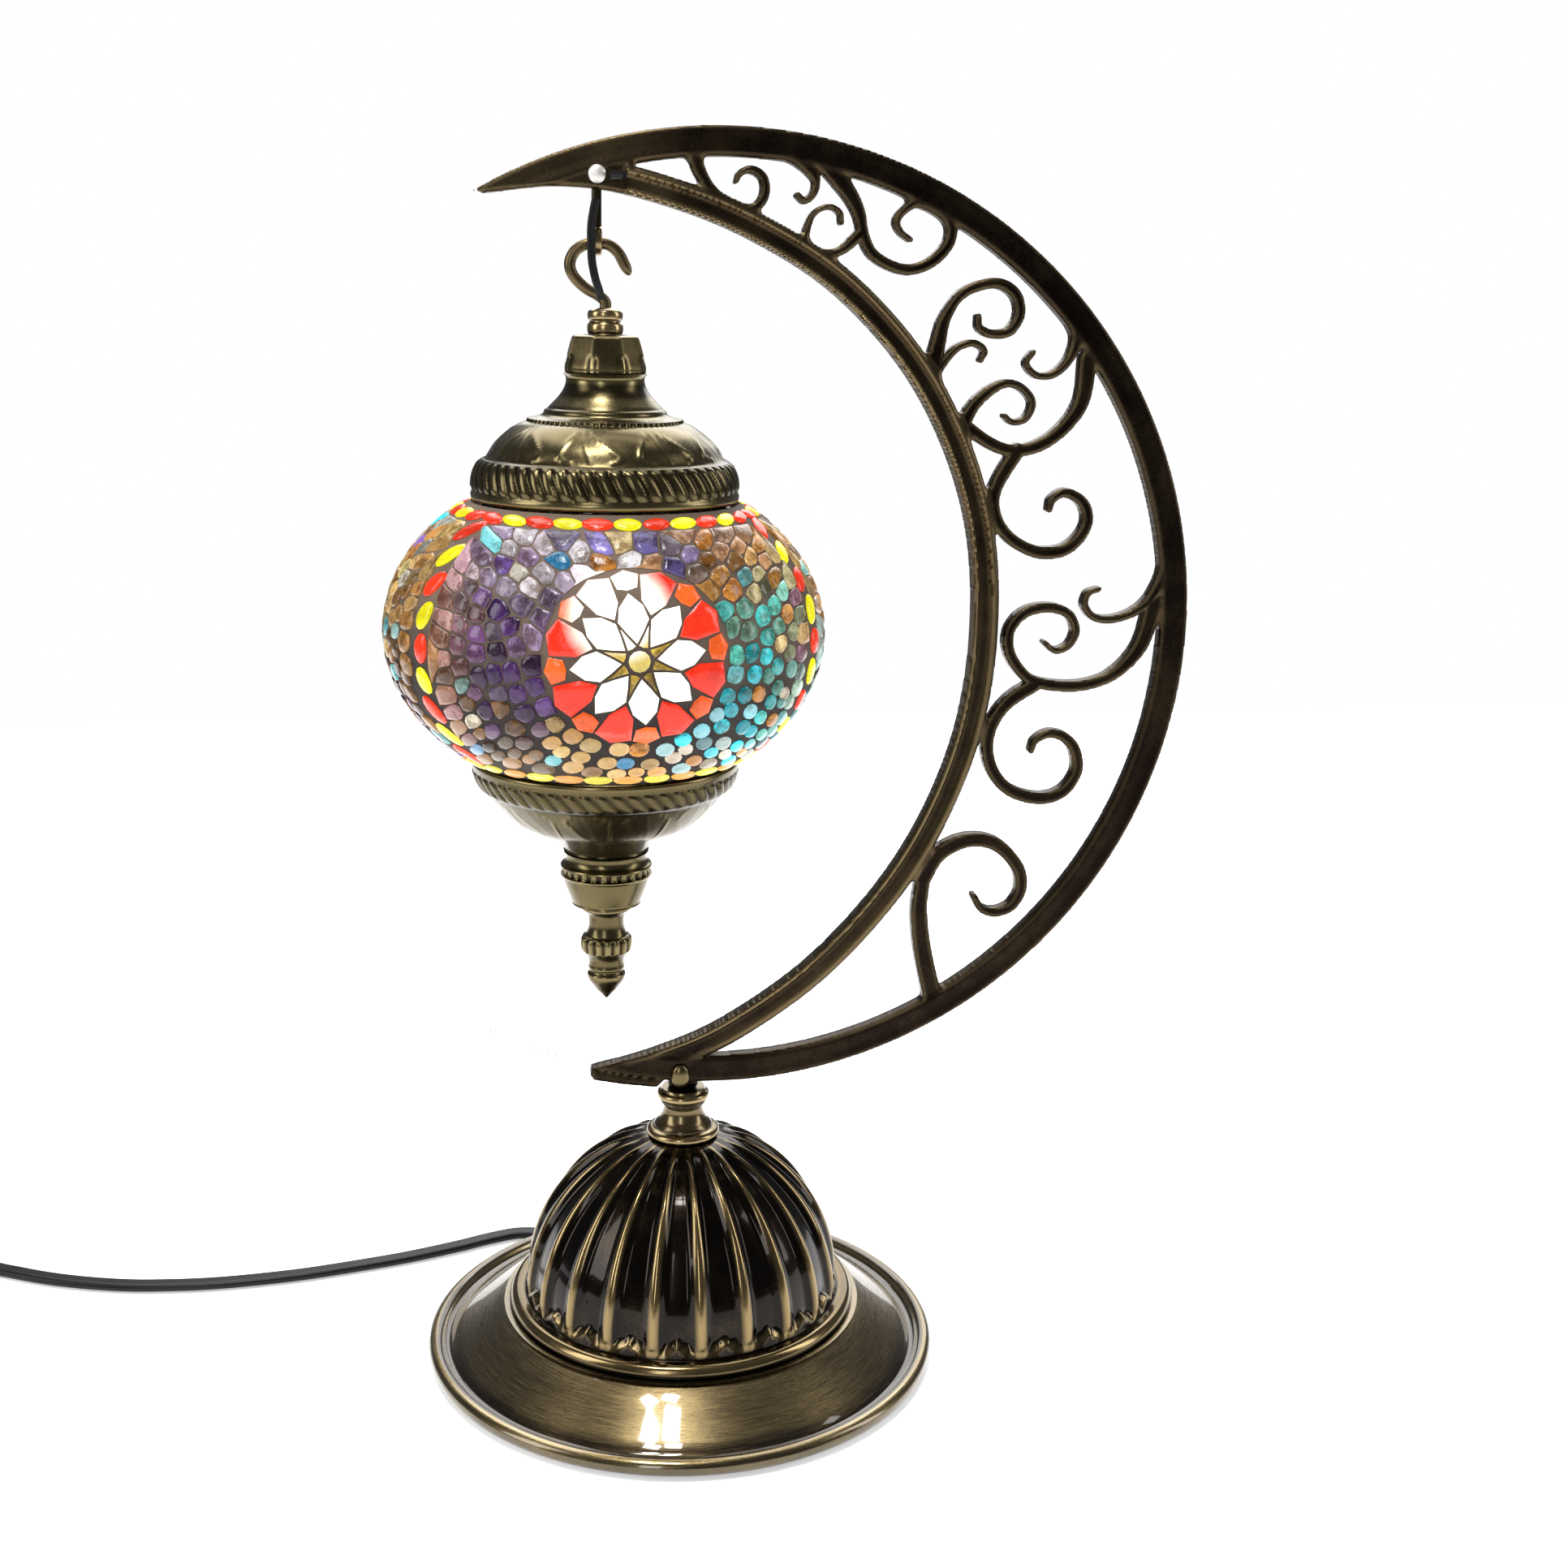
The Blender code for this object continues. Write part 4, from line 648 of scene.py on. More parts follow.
def shell(name, size, at, heading, finish, body, top, rows=84, columns=44):
    """A rounded plate: its outline is a blunt oval of size, and its upper face is
    at top(x, y); its lower face is flat. The outline is a circle's points drawn
    out to a box by a power of their sine and cosine."""
    share = np.linspace(0.0, 1.0, columns) ** 0.6
    angle = circle(rows * 2)
    edge_x = size[0] / 2 * blunt(np.cos(angle), 0.35)
    edge_y = size[1] / 2 * blunt(np.sin(angle), 0.35)
    x = share[1:, None] * edge_x
    y = share[1:, None] * edge_y
    z = top(x, y, share[1:, None])
    sides = len(angle)
    base = np.stack((edge_x, edge_y, np.full(sides, -size[2] / 2)), axis=-1)
    top_rows = np.stack((x, y, z), axis=-1)
    verts = np.vstack((base, top_rows[::-1].reshape(-1, 3)))
    foot = len(verts)
    verts = np.vstack((verts, ((0, 0, -size[2] / 2), (0, 0, float(top(0.0, 0.0, 0.0))))))
    faces = [grid_faces(columns, sides), *fans(sides, foot - sides, foot)]
    verts = verts @ spin_by(heading).T + np.asarray(at)
    return link_mesh(name, verts * MM, faces, finish, body)


print("boxes and height maps ready")


# %% Switch
SPLIT = 7.2                     # height of the join between the two halves
JOIN_GAP = 0.3
WELL = (20.0, 11.0)
HALF_TALL = SWITCH_SIZE[2] - SPLIT - JOIN_GAP


def cover_top(x, y, share):
    """Domed cover with a boxed well for the rocker."""
    rise = HALF_TALL / 2 - 2.4 * np.clip((share - 0.72) / 0.28, 0, 1) ** 2.4
    deep = np.minimum(WELL[0] / 2 - np.abs(x), WELL[1] / 2 - np.abs(y))
    return rise - 5.5 * np.clip(deep / 0.6, 0, 1)


def base_top(x, y, share):
    """A flat face at the join."""
    return np.full(np.shape(x), SPLIT / 2)


switch_low = SWITCH_AT[2] - SWITCH_SIZE[2] / 2
base_half = shell("switch_underside", (SWITCH_SIZE[0], SWITCH_SIZE[1], SPLIT),
                  (*SWITCH_AT[:2], switch_low + SPLIT / 2), LEAD_HEADING, plug_black, "stand",
                  base_top)
cover_half = shell("switch_top", (SWITCH_SIZE[0], SWITCH_SIZE[1], HALF_TALL),
                   (*SWITCH_AT[:2], switch_low + SPLIT + JOIN_GAP + HALF_TALL / 2),
                   LEAD_HEADING, plug_black, "stand", cover_top, rows=120, columns=90)
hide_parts("switch_base")
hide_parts("switch_cover")

ROCKER_PIVOT = np.array((-252.5, 88.0, 11.3))
ROCKER_HALF = 9.2
tilt = math.radians(7.0)
span = np.linspace(-ROCKER_HALF, ROCKER_HALF, 40)
rocker_top = 4.1 + 1.2 * (span / ROCKER_HALF) ** 2
profile = np.concatenate((np.column_stack((span, rocker_top)),
                          [(9.0, 4.6), (8.4, 0.6), (3.0, -4.0), (-3.0, -4.0), (-8.4, 0.6),
                           (-9.0, 4.6)]))
lean_x = profile[:, 0] * math.cos(tilt) - profile[:, 1] * math.sin(tilt)
lean_z = profile[:, 0] * math.sin(tilt) + profile[:, 1] * math.cos(tilt)
cross = np.array((-way[1], way[0], 0.0))
levels = (-4.6, -4.3, 4.3, 4.6)
shrink = (0.96, 1.0, 1.0, 0.96)
rows = [ROCKER_PIVOT + way * (lean_x * s)[:, None] + cross * level
        + np.array((0, 0, 1.0)) * (lean_z * s)[:, None] for level, s in zip(levels, shrink)]
verts = np.vstack(rows)
count = len(profile)
ends = np.vstack((verts, verts[:count].mean(axis=0), verts[-count:].mean(axis=0)))
faces = [grid_faces(len(levels), count), *fans(count, len(verts) - count, len(verts))]
rocker = link_mesh("rocker_cap", ends * MM, faces, plug_black, "rocker")
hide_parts("switch_rocker")
print("switch made")


# %% Plug
def plug_top(x, y, share):
    """A moulded body with rounded shoulders and finger grooves on both sides."""
    grip = 0.35 * np.cos(x * 2 * np.pi / 2.6) * (np.abs(x + 3) < 8) * (share > 0.55)
    return PLUG_SIZE[2] / 2 - 4.2 * np.clip((share - 0.5) / 0.5, 0, 1) ** 2.2 + grip * 0.6


plug = shell("moulded_plug", PLUG_SIZE, PLUG_AT, PLUG_HEADING, plug_black, "stand", plug_top,
             rows=90, columns=50)
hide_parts("plug_body")
plug_side = np.array((-plug_way[1], plug_way[0], 0.0))
BLADE_SIZE = (17.0, 1.5, 6.3)
BLADE_PITCH = 12.7
for n, hand in enumerate((-1, 1)):
    spot = PLUG_AT + plug_way * ((PLUG_SIZE[0] + BLADE_SIZE[0]) / 2) \
        + plug_side * (hand * BLADE_PITCH / 2)
    blade = soft_box(f"blade_{n + 1}", BLADE_SIZE, spot, PLUG_HEADING, shell_brass,
                     "stand", 0.35)
    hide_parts(f"plug_blade_{n + 1}")

for piece, node in ((sleeve, "strain_relief"), (tie, "coil_tie")):
    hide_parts(node)
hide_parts("power_cord", "cord_middle", "cord_tail", "cord_coil")
print("plug and lead made")

# %% [markdown]
# ## The foot
#
# The dish is spun sheet: a rolled rim, a groove behind it, a slope that rises to
# the dome. It is one closed section turned round the axis, and the notch for the
# lead is cut at the back. worn says where the gold shows through.


# %% Dish
def bell(x, middle, width):
    """A smooth bump: 1 at the middle, and 0.37 one width away."""
    return np.exp(-((x - middle) / width) ** 2)


def ramp(x, low, high):
    """0 below low, 1 above high, smooth between."""
    t = np.clip((x - low) / (high - low), 0.0, 1.0)
    return t * t * (3 - 2 * t)


DISH = [(69.4, 1.5), (71.5, 0.95), (73.2, 0.95), (74.6, 1.9), (75.0, 3.3), (74.7, 4.6),
        (73.6, 5.5), (72.2, 5.7), (71.0, 5.1), (70.3, 4.2), (69.6, 3.7), (68.8, 3.6),
        (68.0, 4.0), (66.5, 5.2), (63.0, 7.6), (58.0, 11.0), (54.0, 13.6), (51.0, 15.2),
        (49.0, 15.6), (4.3, 15.6), (4.3, 14.6), (48.5, 14.6), (53.0, 12.6), (62.0, 6.8),
        (66.0, 4.0), (68.0, 2.2)]


def dish_wear(radius, height, turn):
    """Gold on the rolled rim and on the slope; dark in the groove."""
    rim = bell(radius, 73.4, 0.7) + bell(radius, 70.6, 0.35)
    slope = 0.42 * ramp(radius, 46.0, 50.0) * (1 - ramp(radius, 65.0, 67.5))
    outside = 0.25 * ramp(radius, 74.2, 74.9)
    return radius, height, np.clip(rim * (height > 3) + slope + outside, 0, 1)


dish = turned("spun_dish", flow(DISH, 2)[:-1], spun, "stand", 192, shape=dish_wear)
notch = soft_box("notch_cutter", (27.0, 7.6, 8.2), mouth - way * 8.0 + (0, 0, 2.2), LEAD_HEADING,
                 spun, "stand", 0.3)
cutter = dish.modifiers.new("notch", "BOOLEAN")
cutter.object = notch
cutter.solver = "EXACT"
bpy.context.view_layer.update()
shape = bpy.data.meshes.new_from_object(dish.evaluated_get(
    bpy.context.evaluated_depsgraph_get()))
dish.modifiers.remove(cutter)
dish.data = shape
bpy.data.objects.remove(notch)
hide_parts("base_dish")
print("dish faces:", len(shape.polygons))

# %% [markdown]
# The dome is a half ball with 21 narrow ribs. Between two ribs the sheet sinks
# in a flute that ends in a round scallop above the bead. Distance from the
# nearest rib, in millimetres round the dome, gives both the depth and the wear.

# %% Dome
RIBS = 21
RIB_START = math.radians(-106.1)
FLUTE_DEPTH = 1.7
DOME_WIDE = 46.0
DOME_TALL = 48.4
DOME_FOOT = 19.3                # the height where the half ball stands on its bead
swell = np.linspace(0.0, math.acos(8.0 / DOME_WIDE), 56)
DOME = [(45.2, 15.7), (49.2, 15.72), (50.6, 15.9), (51.0, 16.6), (50.7, 17.7), (50.1, 18.7),
        (49.2, 19.2), (48.2, 19.3), (47.2, 19.1), (46.4, 19.2)]
DOME += [(DOME_WIDE * math.cos(t), DOME_FOOT + DOME_TALL * math.sin(t)) for t in swell[1:]]
DOME += [(7.9, 66.95), (4.3, 66.95), (4.3, 65.9), (8.0, 65.9)]
DOME += [(43.4 * math.cos(t), DOME_FOOT + 45.6 * math.sin(t)) for t in swell[::-4]]
DOME += [(45.0, 16.4)]


def flutes(radius, height, turn):
    """Sink the sheet between the ribs, and mark the ribs and the bead as worn."""
    pitch = 2 * np.pi / RIBS
    apart = np.abs((turn - RIB_START + pitch / 2) % pitch - pitch / 2) * radius
    share = apart / (pitch * radius / 2)
    middle = np.clip(1 - share, 0, 1)
    ridge = np.clip(0.10 + 0.55 / np.maximum(radius, 1) * 2, 0.12, 0.34)
    foot = 20.6 + 3.4 * (1 - np.sqrt(np.clip(1 - (1 - middle) ** 2 * 0.98, 0, 1)))
    outer = np.hypot(radius / DOME_WIDE, (height - DOME_FOOT) / DOME_TALL) > 0.985
    reach = ramp(height, foot, foot + 1.4) * (1 - ramp(height, 62.0, 66.4)) \
        * (radius > 8.5) * outer
    sunk = ramp(share, ridge, ridge + 0.42)
    deep = FLUTE_DEPTH * reach * sunk * np.clip(radius / 30, 0.3, 1)
    lean = np.arctan2((height - DOME_FOOT) / DOME_TALL, radius / DOME_WIDE)
    rounding = 0.35 * (1 - ramp(share, 0.0, ridge * 1.4)) * reach
    push = (rounding - deep) * outer
    rub = np.where(height > 19.5, (1 - ramp(share, ridge * 0.9, ridge * 2.0)) * 0.8
                   * ramp(height, 20, 23) * (1 - 0.65 * ramp(height, 56, 65)), 0.0)
    rub = rub + 0.85 * bell(height, 18.4, 0.9) * (radius > 47) \
        + 0.7 * bell(height, foot, 0.7) * (radius > 44.5) * (height > 19.4)
    return radius + push * np.cos(lean), height + push * np.sin(lean), np.clip(rub, 0, 1)


dome = turned("ribbed_dome", DOME, lacquered, "stand", RIBS * 18, shape=flutes, sharp=60.0)
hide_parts("base_dome")


# %% Neck and its screw
NECK = [(0, 66.97), (10.2, 66.97), (10.6, 67.6), (10.4, 68.6), (9.6, 69.2), (8.6, 69.5),
        (8.5, 70.1), (7.9, 70.9), (6.9, 72.0), (6.1, 73.6), (5.8, 75.2), (6.1, 76.4), (6.6, 77.0),
        (6.5, 77.4), (7.2, 78.0), (7.6, 79.0), (7.4, 80.0), (6.6, 80.6), (6.2, 81.3), (0, 81.5)]


def smooth_profile(knots, steps=4):
    """A profile through the knots, with its ends on the axis."""
    curve = flow(np.array(knots[1:-1], dtype=float), steps)
    return np.vstack((knots[:1], curve, knots[-1:]))


def neck_wear(radius, height, turn):
    """Gold on the flange and the top bead, dark in the two grooves beside them."""
    rub = 0.28 + 0.5 * bell(height, 68.1, 0.9) + 0.5 * bell(height, 79.1, 0.9) \
        - 0.3 * bell(height, 70.0, 0.5) - 0.3 * bell(height, 77.2, 0.4)
    return radius, height, np.clip(rub, 0, 1)


neck = turned("turned_neck", smooth_profile(NECK), dark_gold, "stand", 96, shape=neck_wear)
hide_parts("neck")


def facing_front(piece, centre):
    """Turn a piece made flat round the origin so that its top faces -Y."""
    stand_up = Matrix(((1, 0, 0, centre[0] * MM), (0, 0, -1, centre[1] * MM),
                       (0, 1, 0, centre[2] * MM), (0, 0, 0, 1)))
    piece.data.transform(stand_up)
    return piece


def button(name, width, tall, thick, finish, body, centre, wear_and_light):
    """An oval domed head, its flat side at the centre and its dome towards -Y."""
    share = np.linspace(0, 1, 14)
    profile = [(0, 0)] + [(1.0, 0.0), (1.0, 0.12)] \
        + [(math.cos(t), 0.12 + 0.88 * math.sin(t)) for t in share[1:-1] * math.pi / 2] \
        + [(0, 1.0)]
    piece = turned(name, profile, finish, body, 48, wear_and_light=wear_and_light)
    piece.data.transform(Matrix.Diagonal((width / 2, tall / 2, thick, 1.0)))
    return facing_front(piece, centre)


PIN = (-24.5, 335.0)            # the pin's middle, in x and z
boss = button("neck_boss", 5.2, 7.6, 1.8, antique, "stand", (-1.2, -3.0, 85.5), 0.4)
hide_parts("neck_screw")
pin = button("pin_cap", 4.7, 4.7, 1.6, nickel, "stand", (PIN[0], -3.08, PIN[1]), 0.7)
shank = turned("pin_shank", [(0, -4.0), (1.35, -4.0), (1.35, 3.09), (0, 3.09)], nickel,
               "stand", 32)
facing_front(shank, (PIN[0], 0.0, PIN[1]))
for piece in (pin, shank):
    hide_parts("hang_pin")
print("foot and neck made")

# %% [markdown]
# ## The lantern's metal
#
# The cap and the bowl are pressed brass with a slanted rope band at the lip and
# leaves above it. Each relief is a sum of smooth bumps along the profile and
# round the axis. They share the lantern's axis at x = -22.3 mm.

# %% Cap, bowl and relief
AXIS = -22.3


def rope(height, turn, low, high, lobes, slant):
    """A band of slanted lobes: 0 in the cuts between them, 1 on their backs."""
    band = ramp(height, low, low + 0.9) * (1 - ramp(height, high - 0.9, high))
    wave = np.abs(np.sin((turn * lobes + (height - low) * slant) / 2)) ** 0.7
    return band * wave, band


def leaves(height, turn, low, high, count, lean=0.0):
    """Raised outlines of leaves that point up, with a middle vein."""
    up = (height - low) / (high - low)
    across = ((turn + lean * up) * count / (2 * np.pi)) % 1.0 - 0.5
    width = 0.44 * np.sqrt(np.clip(1 - up, 0, 1)) * ramp(up, -0.15, 0.25)
    line = bell(np.abs(across), width, 0.035) + 0.4 * bell(across, 0.0, 0.025)
    return np.clip(line, 0, 1) * ramp(up, 0.0, 0.08) * (1 - ramp(up, 0.9, 1.0))


CAP = [(34.6, 251.65), (35.55, 251.62), (35.85, 252.3), (35.9, 253.2), (35.6, 253.9),
       (35.7, 255.2), (35.5, 257.2), (35.0, 259.0), (34.2, 260.6), (33.4, 261.7), (32.9, 262.1),
       (32.0, 262.4), (31.2, 263.4), (30.5, 264.5), (29.5, 266.0), (28.2, 267.4), (26.4, 269.0),
       (23.9, 270.8), (21.9, 271.8), (20.9, 272.1), (20.7, 272.9), (19.0, 273.1), (16.6, 274.0),
       (16.2, 275.0), (15.2, 275.6), (14.9, 276.0), (13.4, 277.5), (12.0, 279.1), (10.9, 280.9),
       (10.4, 282.6), (10.5, 283.8), (11.0, 284.4), (10.8, 284.88), (5.2, 284.88), (5.2, 276.7),
       (12.6, 276.6), (15.0, 272.9), (20.4, 270.8), (25.0, 268.0), (28.8, 263.6), (31.6, 260.6),
       (33.9, 257.5), (34.5, 254.0)]


def cap_relief(radius, height, turn):
    """The rope at the lip, nine leaves above it and a ring of teeth below the neck."""
    outside = radius > np.interp(height, [251, 255, 262, 270, 273, 276, 285],
                                 [35.0, 34.9, 31.4, 23.2, 18.0, 13.6, 9.0])
    lobe, band = rope(height, turn, 254.0, 262.2, 58, 0.8)
    leaf = leaves(height, turn, 262.8, 270.6, 9, 0.12)
    teeth = bell(height, 272.5, 0.5) * (np.cos(turn * 72) > 0)
    lift = outside * (0.75 * (lobe - 0.55) * band + 0.28 * leaf - 0.25 * teeth)
    rub = 0.36 + 0.4 * lobe - 0.42 * band + 0.25 * leaf - 0.35 * teeth \
        + 0.25 * bell(height, 252.6, 0.8) + 0.2 * ramp(height, 276, 279) \
        - 0.25 * bell(height, 262.3, 0.6) - 0.25 * bell(height, 275.3, 0.6)
    rub = np.where(outside, rub, 0.1)
    return radius + lift, height + 0.3 * lift, np.clip(rub, 0, 1)


cap = turned("pressed_cap", flow(CAP, 2)[:-1], antique, "lantern", 580, AXIS, cap_relief, 50.0)
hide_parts("cap")

BOWL = [(4.2, 153.72), (11.5, 153.72), (11.7, 154.6), (12.6, 155.7), (14.1, 157.0), (16.0, 158.3),
        (18.6, 159.8), (21.6, 161.2), (24.5, 162.7), (27.0, 164.8), (29.0, 166.9), (31.0, 169.2),
        (32.6, 171.2), (33.6, 172.4), (34.4, 172.7), (35.3, 173.6), (36.1, 175.2), (36.6, 177.0),
        (36.7, 178.2), (36.9, 178.9), (37.1, 179.8), (36.9, 180.7), (36.2, 181.0), (35.5, 180.8),
        (35.4, 178.0), (34.4, 175.2), (31.8, 172.6), (27.6, 167.6), (23.4, 164.0), (17.6, 161.2),
        (12.0, 158.0), (8.4, 156.7), (4.2, 156.6)]


def bowl_relief(radius, height, turn):
    """The rope at the lip and twelve leaves that point down."""
    outside = radius > np.interp(height, [154, 157, 160, 163, 167, 172, 176, 181],
                                 [10.4, 13.2, 18.2, 23.9, 28.2, 32.6, 35.5, 36.0])
    lobe, band = rope(height, turn, 172.3, 178.7, 54, 1.2)
    leaf = leaves(-height, turn, -171.8, -159.5, 12, -0.15)
    lift = outside * (0.7 * (lobe - 0.55) * band + 0.3 * leaf)
    rub = 0.26 + 0.42 * lobe - 0.4 * band + 0.3 * leaf + 0.3 * bell(height, 180.2, 0.7) \
        - 0.2 * bell(height, 172.3, 0.5)
    rub = np.where(outside, rub, 0.15)
    return radius + lift, height + 0.2 * lift, np.clip(rub, 0, 1)


bowl = turned("pressed_bowl", flow(BOWL, 2)[:-1], antique, "lantern", 540, AXIS, bowl_relief, 50.0)
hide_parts("lower_bowl")


# %% Coupler, collar, cup and finial
def facets(radius, height, turn):
    """Eight flats with a soft arris, and a shallow arch cut under each."""
    eighth = math.pi / 4
    off = np.abs(turn % eighth - eighth / 2)
    flat = math.cos(eighth / 2) / np.cos(eighth / 2 - off) * 1.035
    arris = bell(eighth / 2 - off, eighth / 2, 0.05)
    arch = (height < 289.0) * ramp(radius, 8.0, 9.0) * 0.5 * bell(off, 0.0, 0.10)
    grow = np.where(radius > 7.0, flat, 1.0)
    rub = 0.3 + 0.4 * arris + 0.3 * bell(height, 286.0, 0.8) + 0.2 * bell(height, 294.0, 0.5)
    return radius * grow - arch, height, np.clip(rub, 0, 1)


COUPLER = [(5.2, 284.93), (10.6, 284.93), (11.1, 285.5), (11.1, 286.6), (10.5, 288.6),
           (9.9, 291.0), (9.3, 293.0), (8.8, 294.1), (7.6, 294.58), (5.2, 294.58)]
coupler = turned("eight_sided_coupler", flow(COUPLER, 3)[:-1], antique, "lantern", 192, AXIS,
                 facets, 28.0)
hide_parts("cap_coupler")

COLLAR = [(0, 294.63), (4.3, 294.65), (4.6, 295.1), (4.75, 296.0), (4.65, 297.2), (4.2, 297.8),
          (4.1, 298.2), (4.5, 298.7), (4.65, 299.6), (4.5, 300.5), (4.0, 301.0), (3.0, 301.5),
          (0, 301.6)]


def collar_wear(radius, height, turn):
    """Gold on the backs of the two beads."""
    return radius, height, np.clip(0.35 + 0.5 * ramp(radius, 4.3, 4.7), 0, 1)


collar = turned("beaded_collar", smooth_profile(COLLAR), dark_gold, "lantern", 64, AXIS,
                collar_wear)
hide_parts("hook_collar")

CUP = [(3.0, 138.25), (9.3, 138.25), (9.7, 139.0), (10.6, 141.2), (11.4, 143.4), (12.0, 145.4),
       (12.3, 146.3), (12.8, 146.7), (12.8, 147.2), (12.2, 147.4), (12.2, 149.0), (12.8, 149.2),
       (12.7, 149.8), (12.0, 150.3), (11.4, 151.2), (11.2, 152.4), (11.4, 153.2), (11.3, 153.58),
       (3.0, 153.58)]


def gallery(radius, height, turn):
    """A band of small upright bars and dark gaps between two beads."""
    inside = ramp(height, 147.1, 147.4) * (1 - ramp(height, 149.0, 149.3)) * (radius > 8)
    bar = ramp(np.cos(turn * 26), -0.3, 0.1)
    rub = 0.38 + 0.4 * bell(height, 146.9, 0.35) + 0.4 * bell(height, 149.5, 0.35)
    rub = rub * (1 - inside) + inside * 0.5 * bar
    return radius + inside * (0.5 * bar - 0.5), height, np.clip(rub, 0, 1)


cup = turned("gallery_cup", flow(CUP, 4)[:-1], antique, "lantern", 312, AXIS, gallery, 50.0)
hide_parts("finial_cup")

FINIAL = [(0, 109.2), (0.7, 109.9), (1.6, 110.9), (2.9, 112.3), (3.9, 113.7), (4.9, 115.1),
          (5.4, 116.3), (5.4, 117.2), (4.9, 117.7), (4.7, 118.3), (5.2, 119.0), (5.0, 120.0),
          (5.0, 121.2), (5.5, 122.5), (6.3, 123.6), (6.9, 124.2), (7.2, 125.2), (7.3, 126.6),
          (7.1, 127.9), (6.6, 128.5), (5.9, 128.9), (5.4, 130.0), (5.0, 131.6), (5.0, 133.6),
          (5.4, 135.2), (6.2, 136.0), (7.0, 136.5), (7.2, 137.2), (6.9, 137.9), (0, 138.18)]


def fluted(radius, height, turn):
    """Sixteen flutes cut in the finial's round bead."""
    band = ramp(height, 123.9, 124.6) * (1 - ramp(height, 128.0, 128.6))
    cut = band * (0.5 - 0.5 * np.cos(turn * 16)) ** 1.5
    rub = 0.3 + 0.45 * band * (1 - cut) + 0.45 * bell(height, 137.2, 0.5) \
        + 0.35 * bell(height, 116.8, 0.5) + 0.3 * bell(height, 119.0, 0.4)
    return radius - 0.55 * cut, height, np.clip(rub - 0.4 * cut, 0, 1)


finial = turned("fluted_finial", smooth_profile(FINIAL, 3), antique, "lantern", 256, AXIS, fluted,
                50.0)
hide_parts("finial")
print("lantern metal made")

# %% [markdown]
# ## Hook, hanger and the lead that drops to the lantern
#
# The hook is a bent rod. It hangs in the eye of a short bar, which swings on the
# pin. The flat lead drops in front of them.

# %% Hook and hanger
EYE_HEIGHT = 318.5
ROD_HEIGHT = 317.8
EYE_RADIUS = 3.1
EYE_POINTS = 56
TUBE_POINTS = 20
HOOK_LINE = [(AXIS, -16.9), (AXIS, -14.8), (-24.0, -13.2), (-27.6, -11.2), (-30.6, -8.2),
             (-31.5, -5.2), (-30.2, -2.2), (-27.6, -0.4), (-24.5, 0.0), (-21.4, -0.3),
             (-18.9, -2.2), (-17.2, -5.2), (-15.8, -7.9)]
hook_path = flow([(x, 0.0, ROD_HEIGHT + z) for x, z in HOOK_LINE], 8)
to_tip = np.arange(len(hook_path))[::-1] / 10
hook_size = np.sqrt(np.clip(1 - np.clip(1 - to_tip / 0.9, 0, 1) ** 2, 0.02, 1))
hook = swept("bent_hook", hook_path, ring_section(1.5, 24), cast_bronze, "lantern", (0, 1, 0),
             hook_size, wear_and_light=0.55)
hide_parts("hook")

bar = soft_box("hanger_bar", (2.5, 2.4, 10.6), (PIN[0], 0.0, 326.9), 0.0, dark_gold, "hanger",
               0.4)
turn = circle(EYE_POINTS)
out = np.column_stack((np.zeros(EYE_POINTS), np.cos(turn), np.sin(turn)))
eye_loop = np.array((PIN[0], 0.0, EYE_HEIGHT)) + EYE_RADIUS * out
angle = circle(TUBE_POINTS)
tube = np.column_stack((1.3 * blunt(np.cos(angle), 0.6), 0.78 * blunt(np.sin(angle), 0.6)))
ring_rows = np.stack([eye_loop + a * np.array((1.0, 0, 0)) + b * out for a, b in tube], axis=1)
eye_ring = link_mesh("hanger_ring", ring_rows.reshape(-1, 3) * MM,
                     [grid_faces(EYE_POINTS, TUBE_POINTS, closed_rows=True)], dark_gold,
                     "hanger", wear_and_light=np.full(EYE_POINTS * TUBE_POINTS, 0.5))
knuckle = turned("hanger_knuckle", [(1.43, -1.25), (2.6, -1.25), (2.95, -0.9), (2.95, 0.9),
                                    (2.6, 1.25), (1.43, 1.25)], dark_gold, "hanger", 40, wear_and_light=0.3)
facing_front(knuckle, (PIN[0], 0.0, PIN[1]))
for piece in (bar, eye_ring, knuckle):
    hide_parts("hanger_eye")

DROP = [(-24.9, -3.4, 328.6), (-25.6, -4.6, 325.6), (-26.2, -5.6, 321.8), (-26.2, -5.6, 317.0),
        (-26.0, -5.6, 313.0), (-25.2, -5.4, 309.0), (-24.2, -4.7, 306.0), (-23.6, -3.7, 303.8)]
drop = swept("drop_lead", flow(DROP, 8), twin_section(2.15, 1.7), jacket, None, (0, 1, 0))
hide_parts("drop_lead_upper", "drop_lead_lower")
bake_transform(drop)
print("hook and hanger made")

# %% [markdown]
# ## Bulb
#
# The bulb has a rolled screw thread on its base: the radius rises and falls with
# height minus a share of the turn, which is what a helix is.

# %% Bulb
SCREW_FOOT = 244.95
THREAD_PITCH = 2.5


def thread(radius, height, turn):
    """A helix pressed into the screw's wall."""
    out = 0.35 * np.sin(2 * np.pi * (height / THREAD_PITCH - turn / (2 * np.pi)))
    inside = ramp(height, 247.2, 248.2) * (1 - ramp(height, 258.0, 259.0)) * (radius > 5)
    return radius + inside * (out - 0.35), height, np.full_like(radius, 0.4)


def foot_height(node):
    """The height of a CAD node's lowest point, in millimetres."""
    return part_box(node)[0][2] / MM


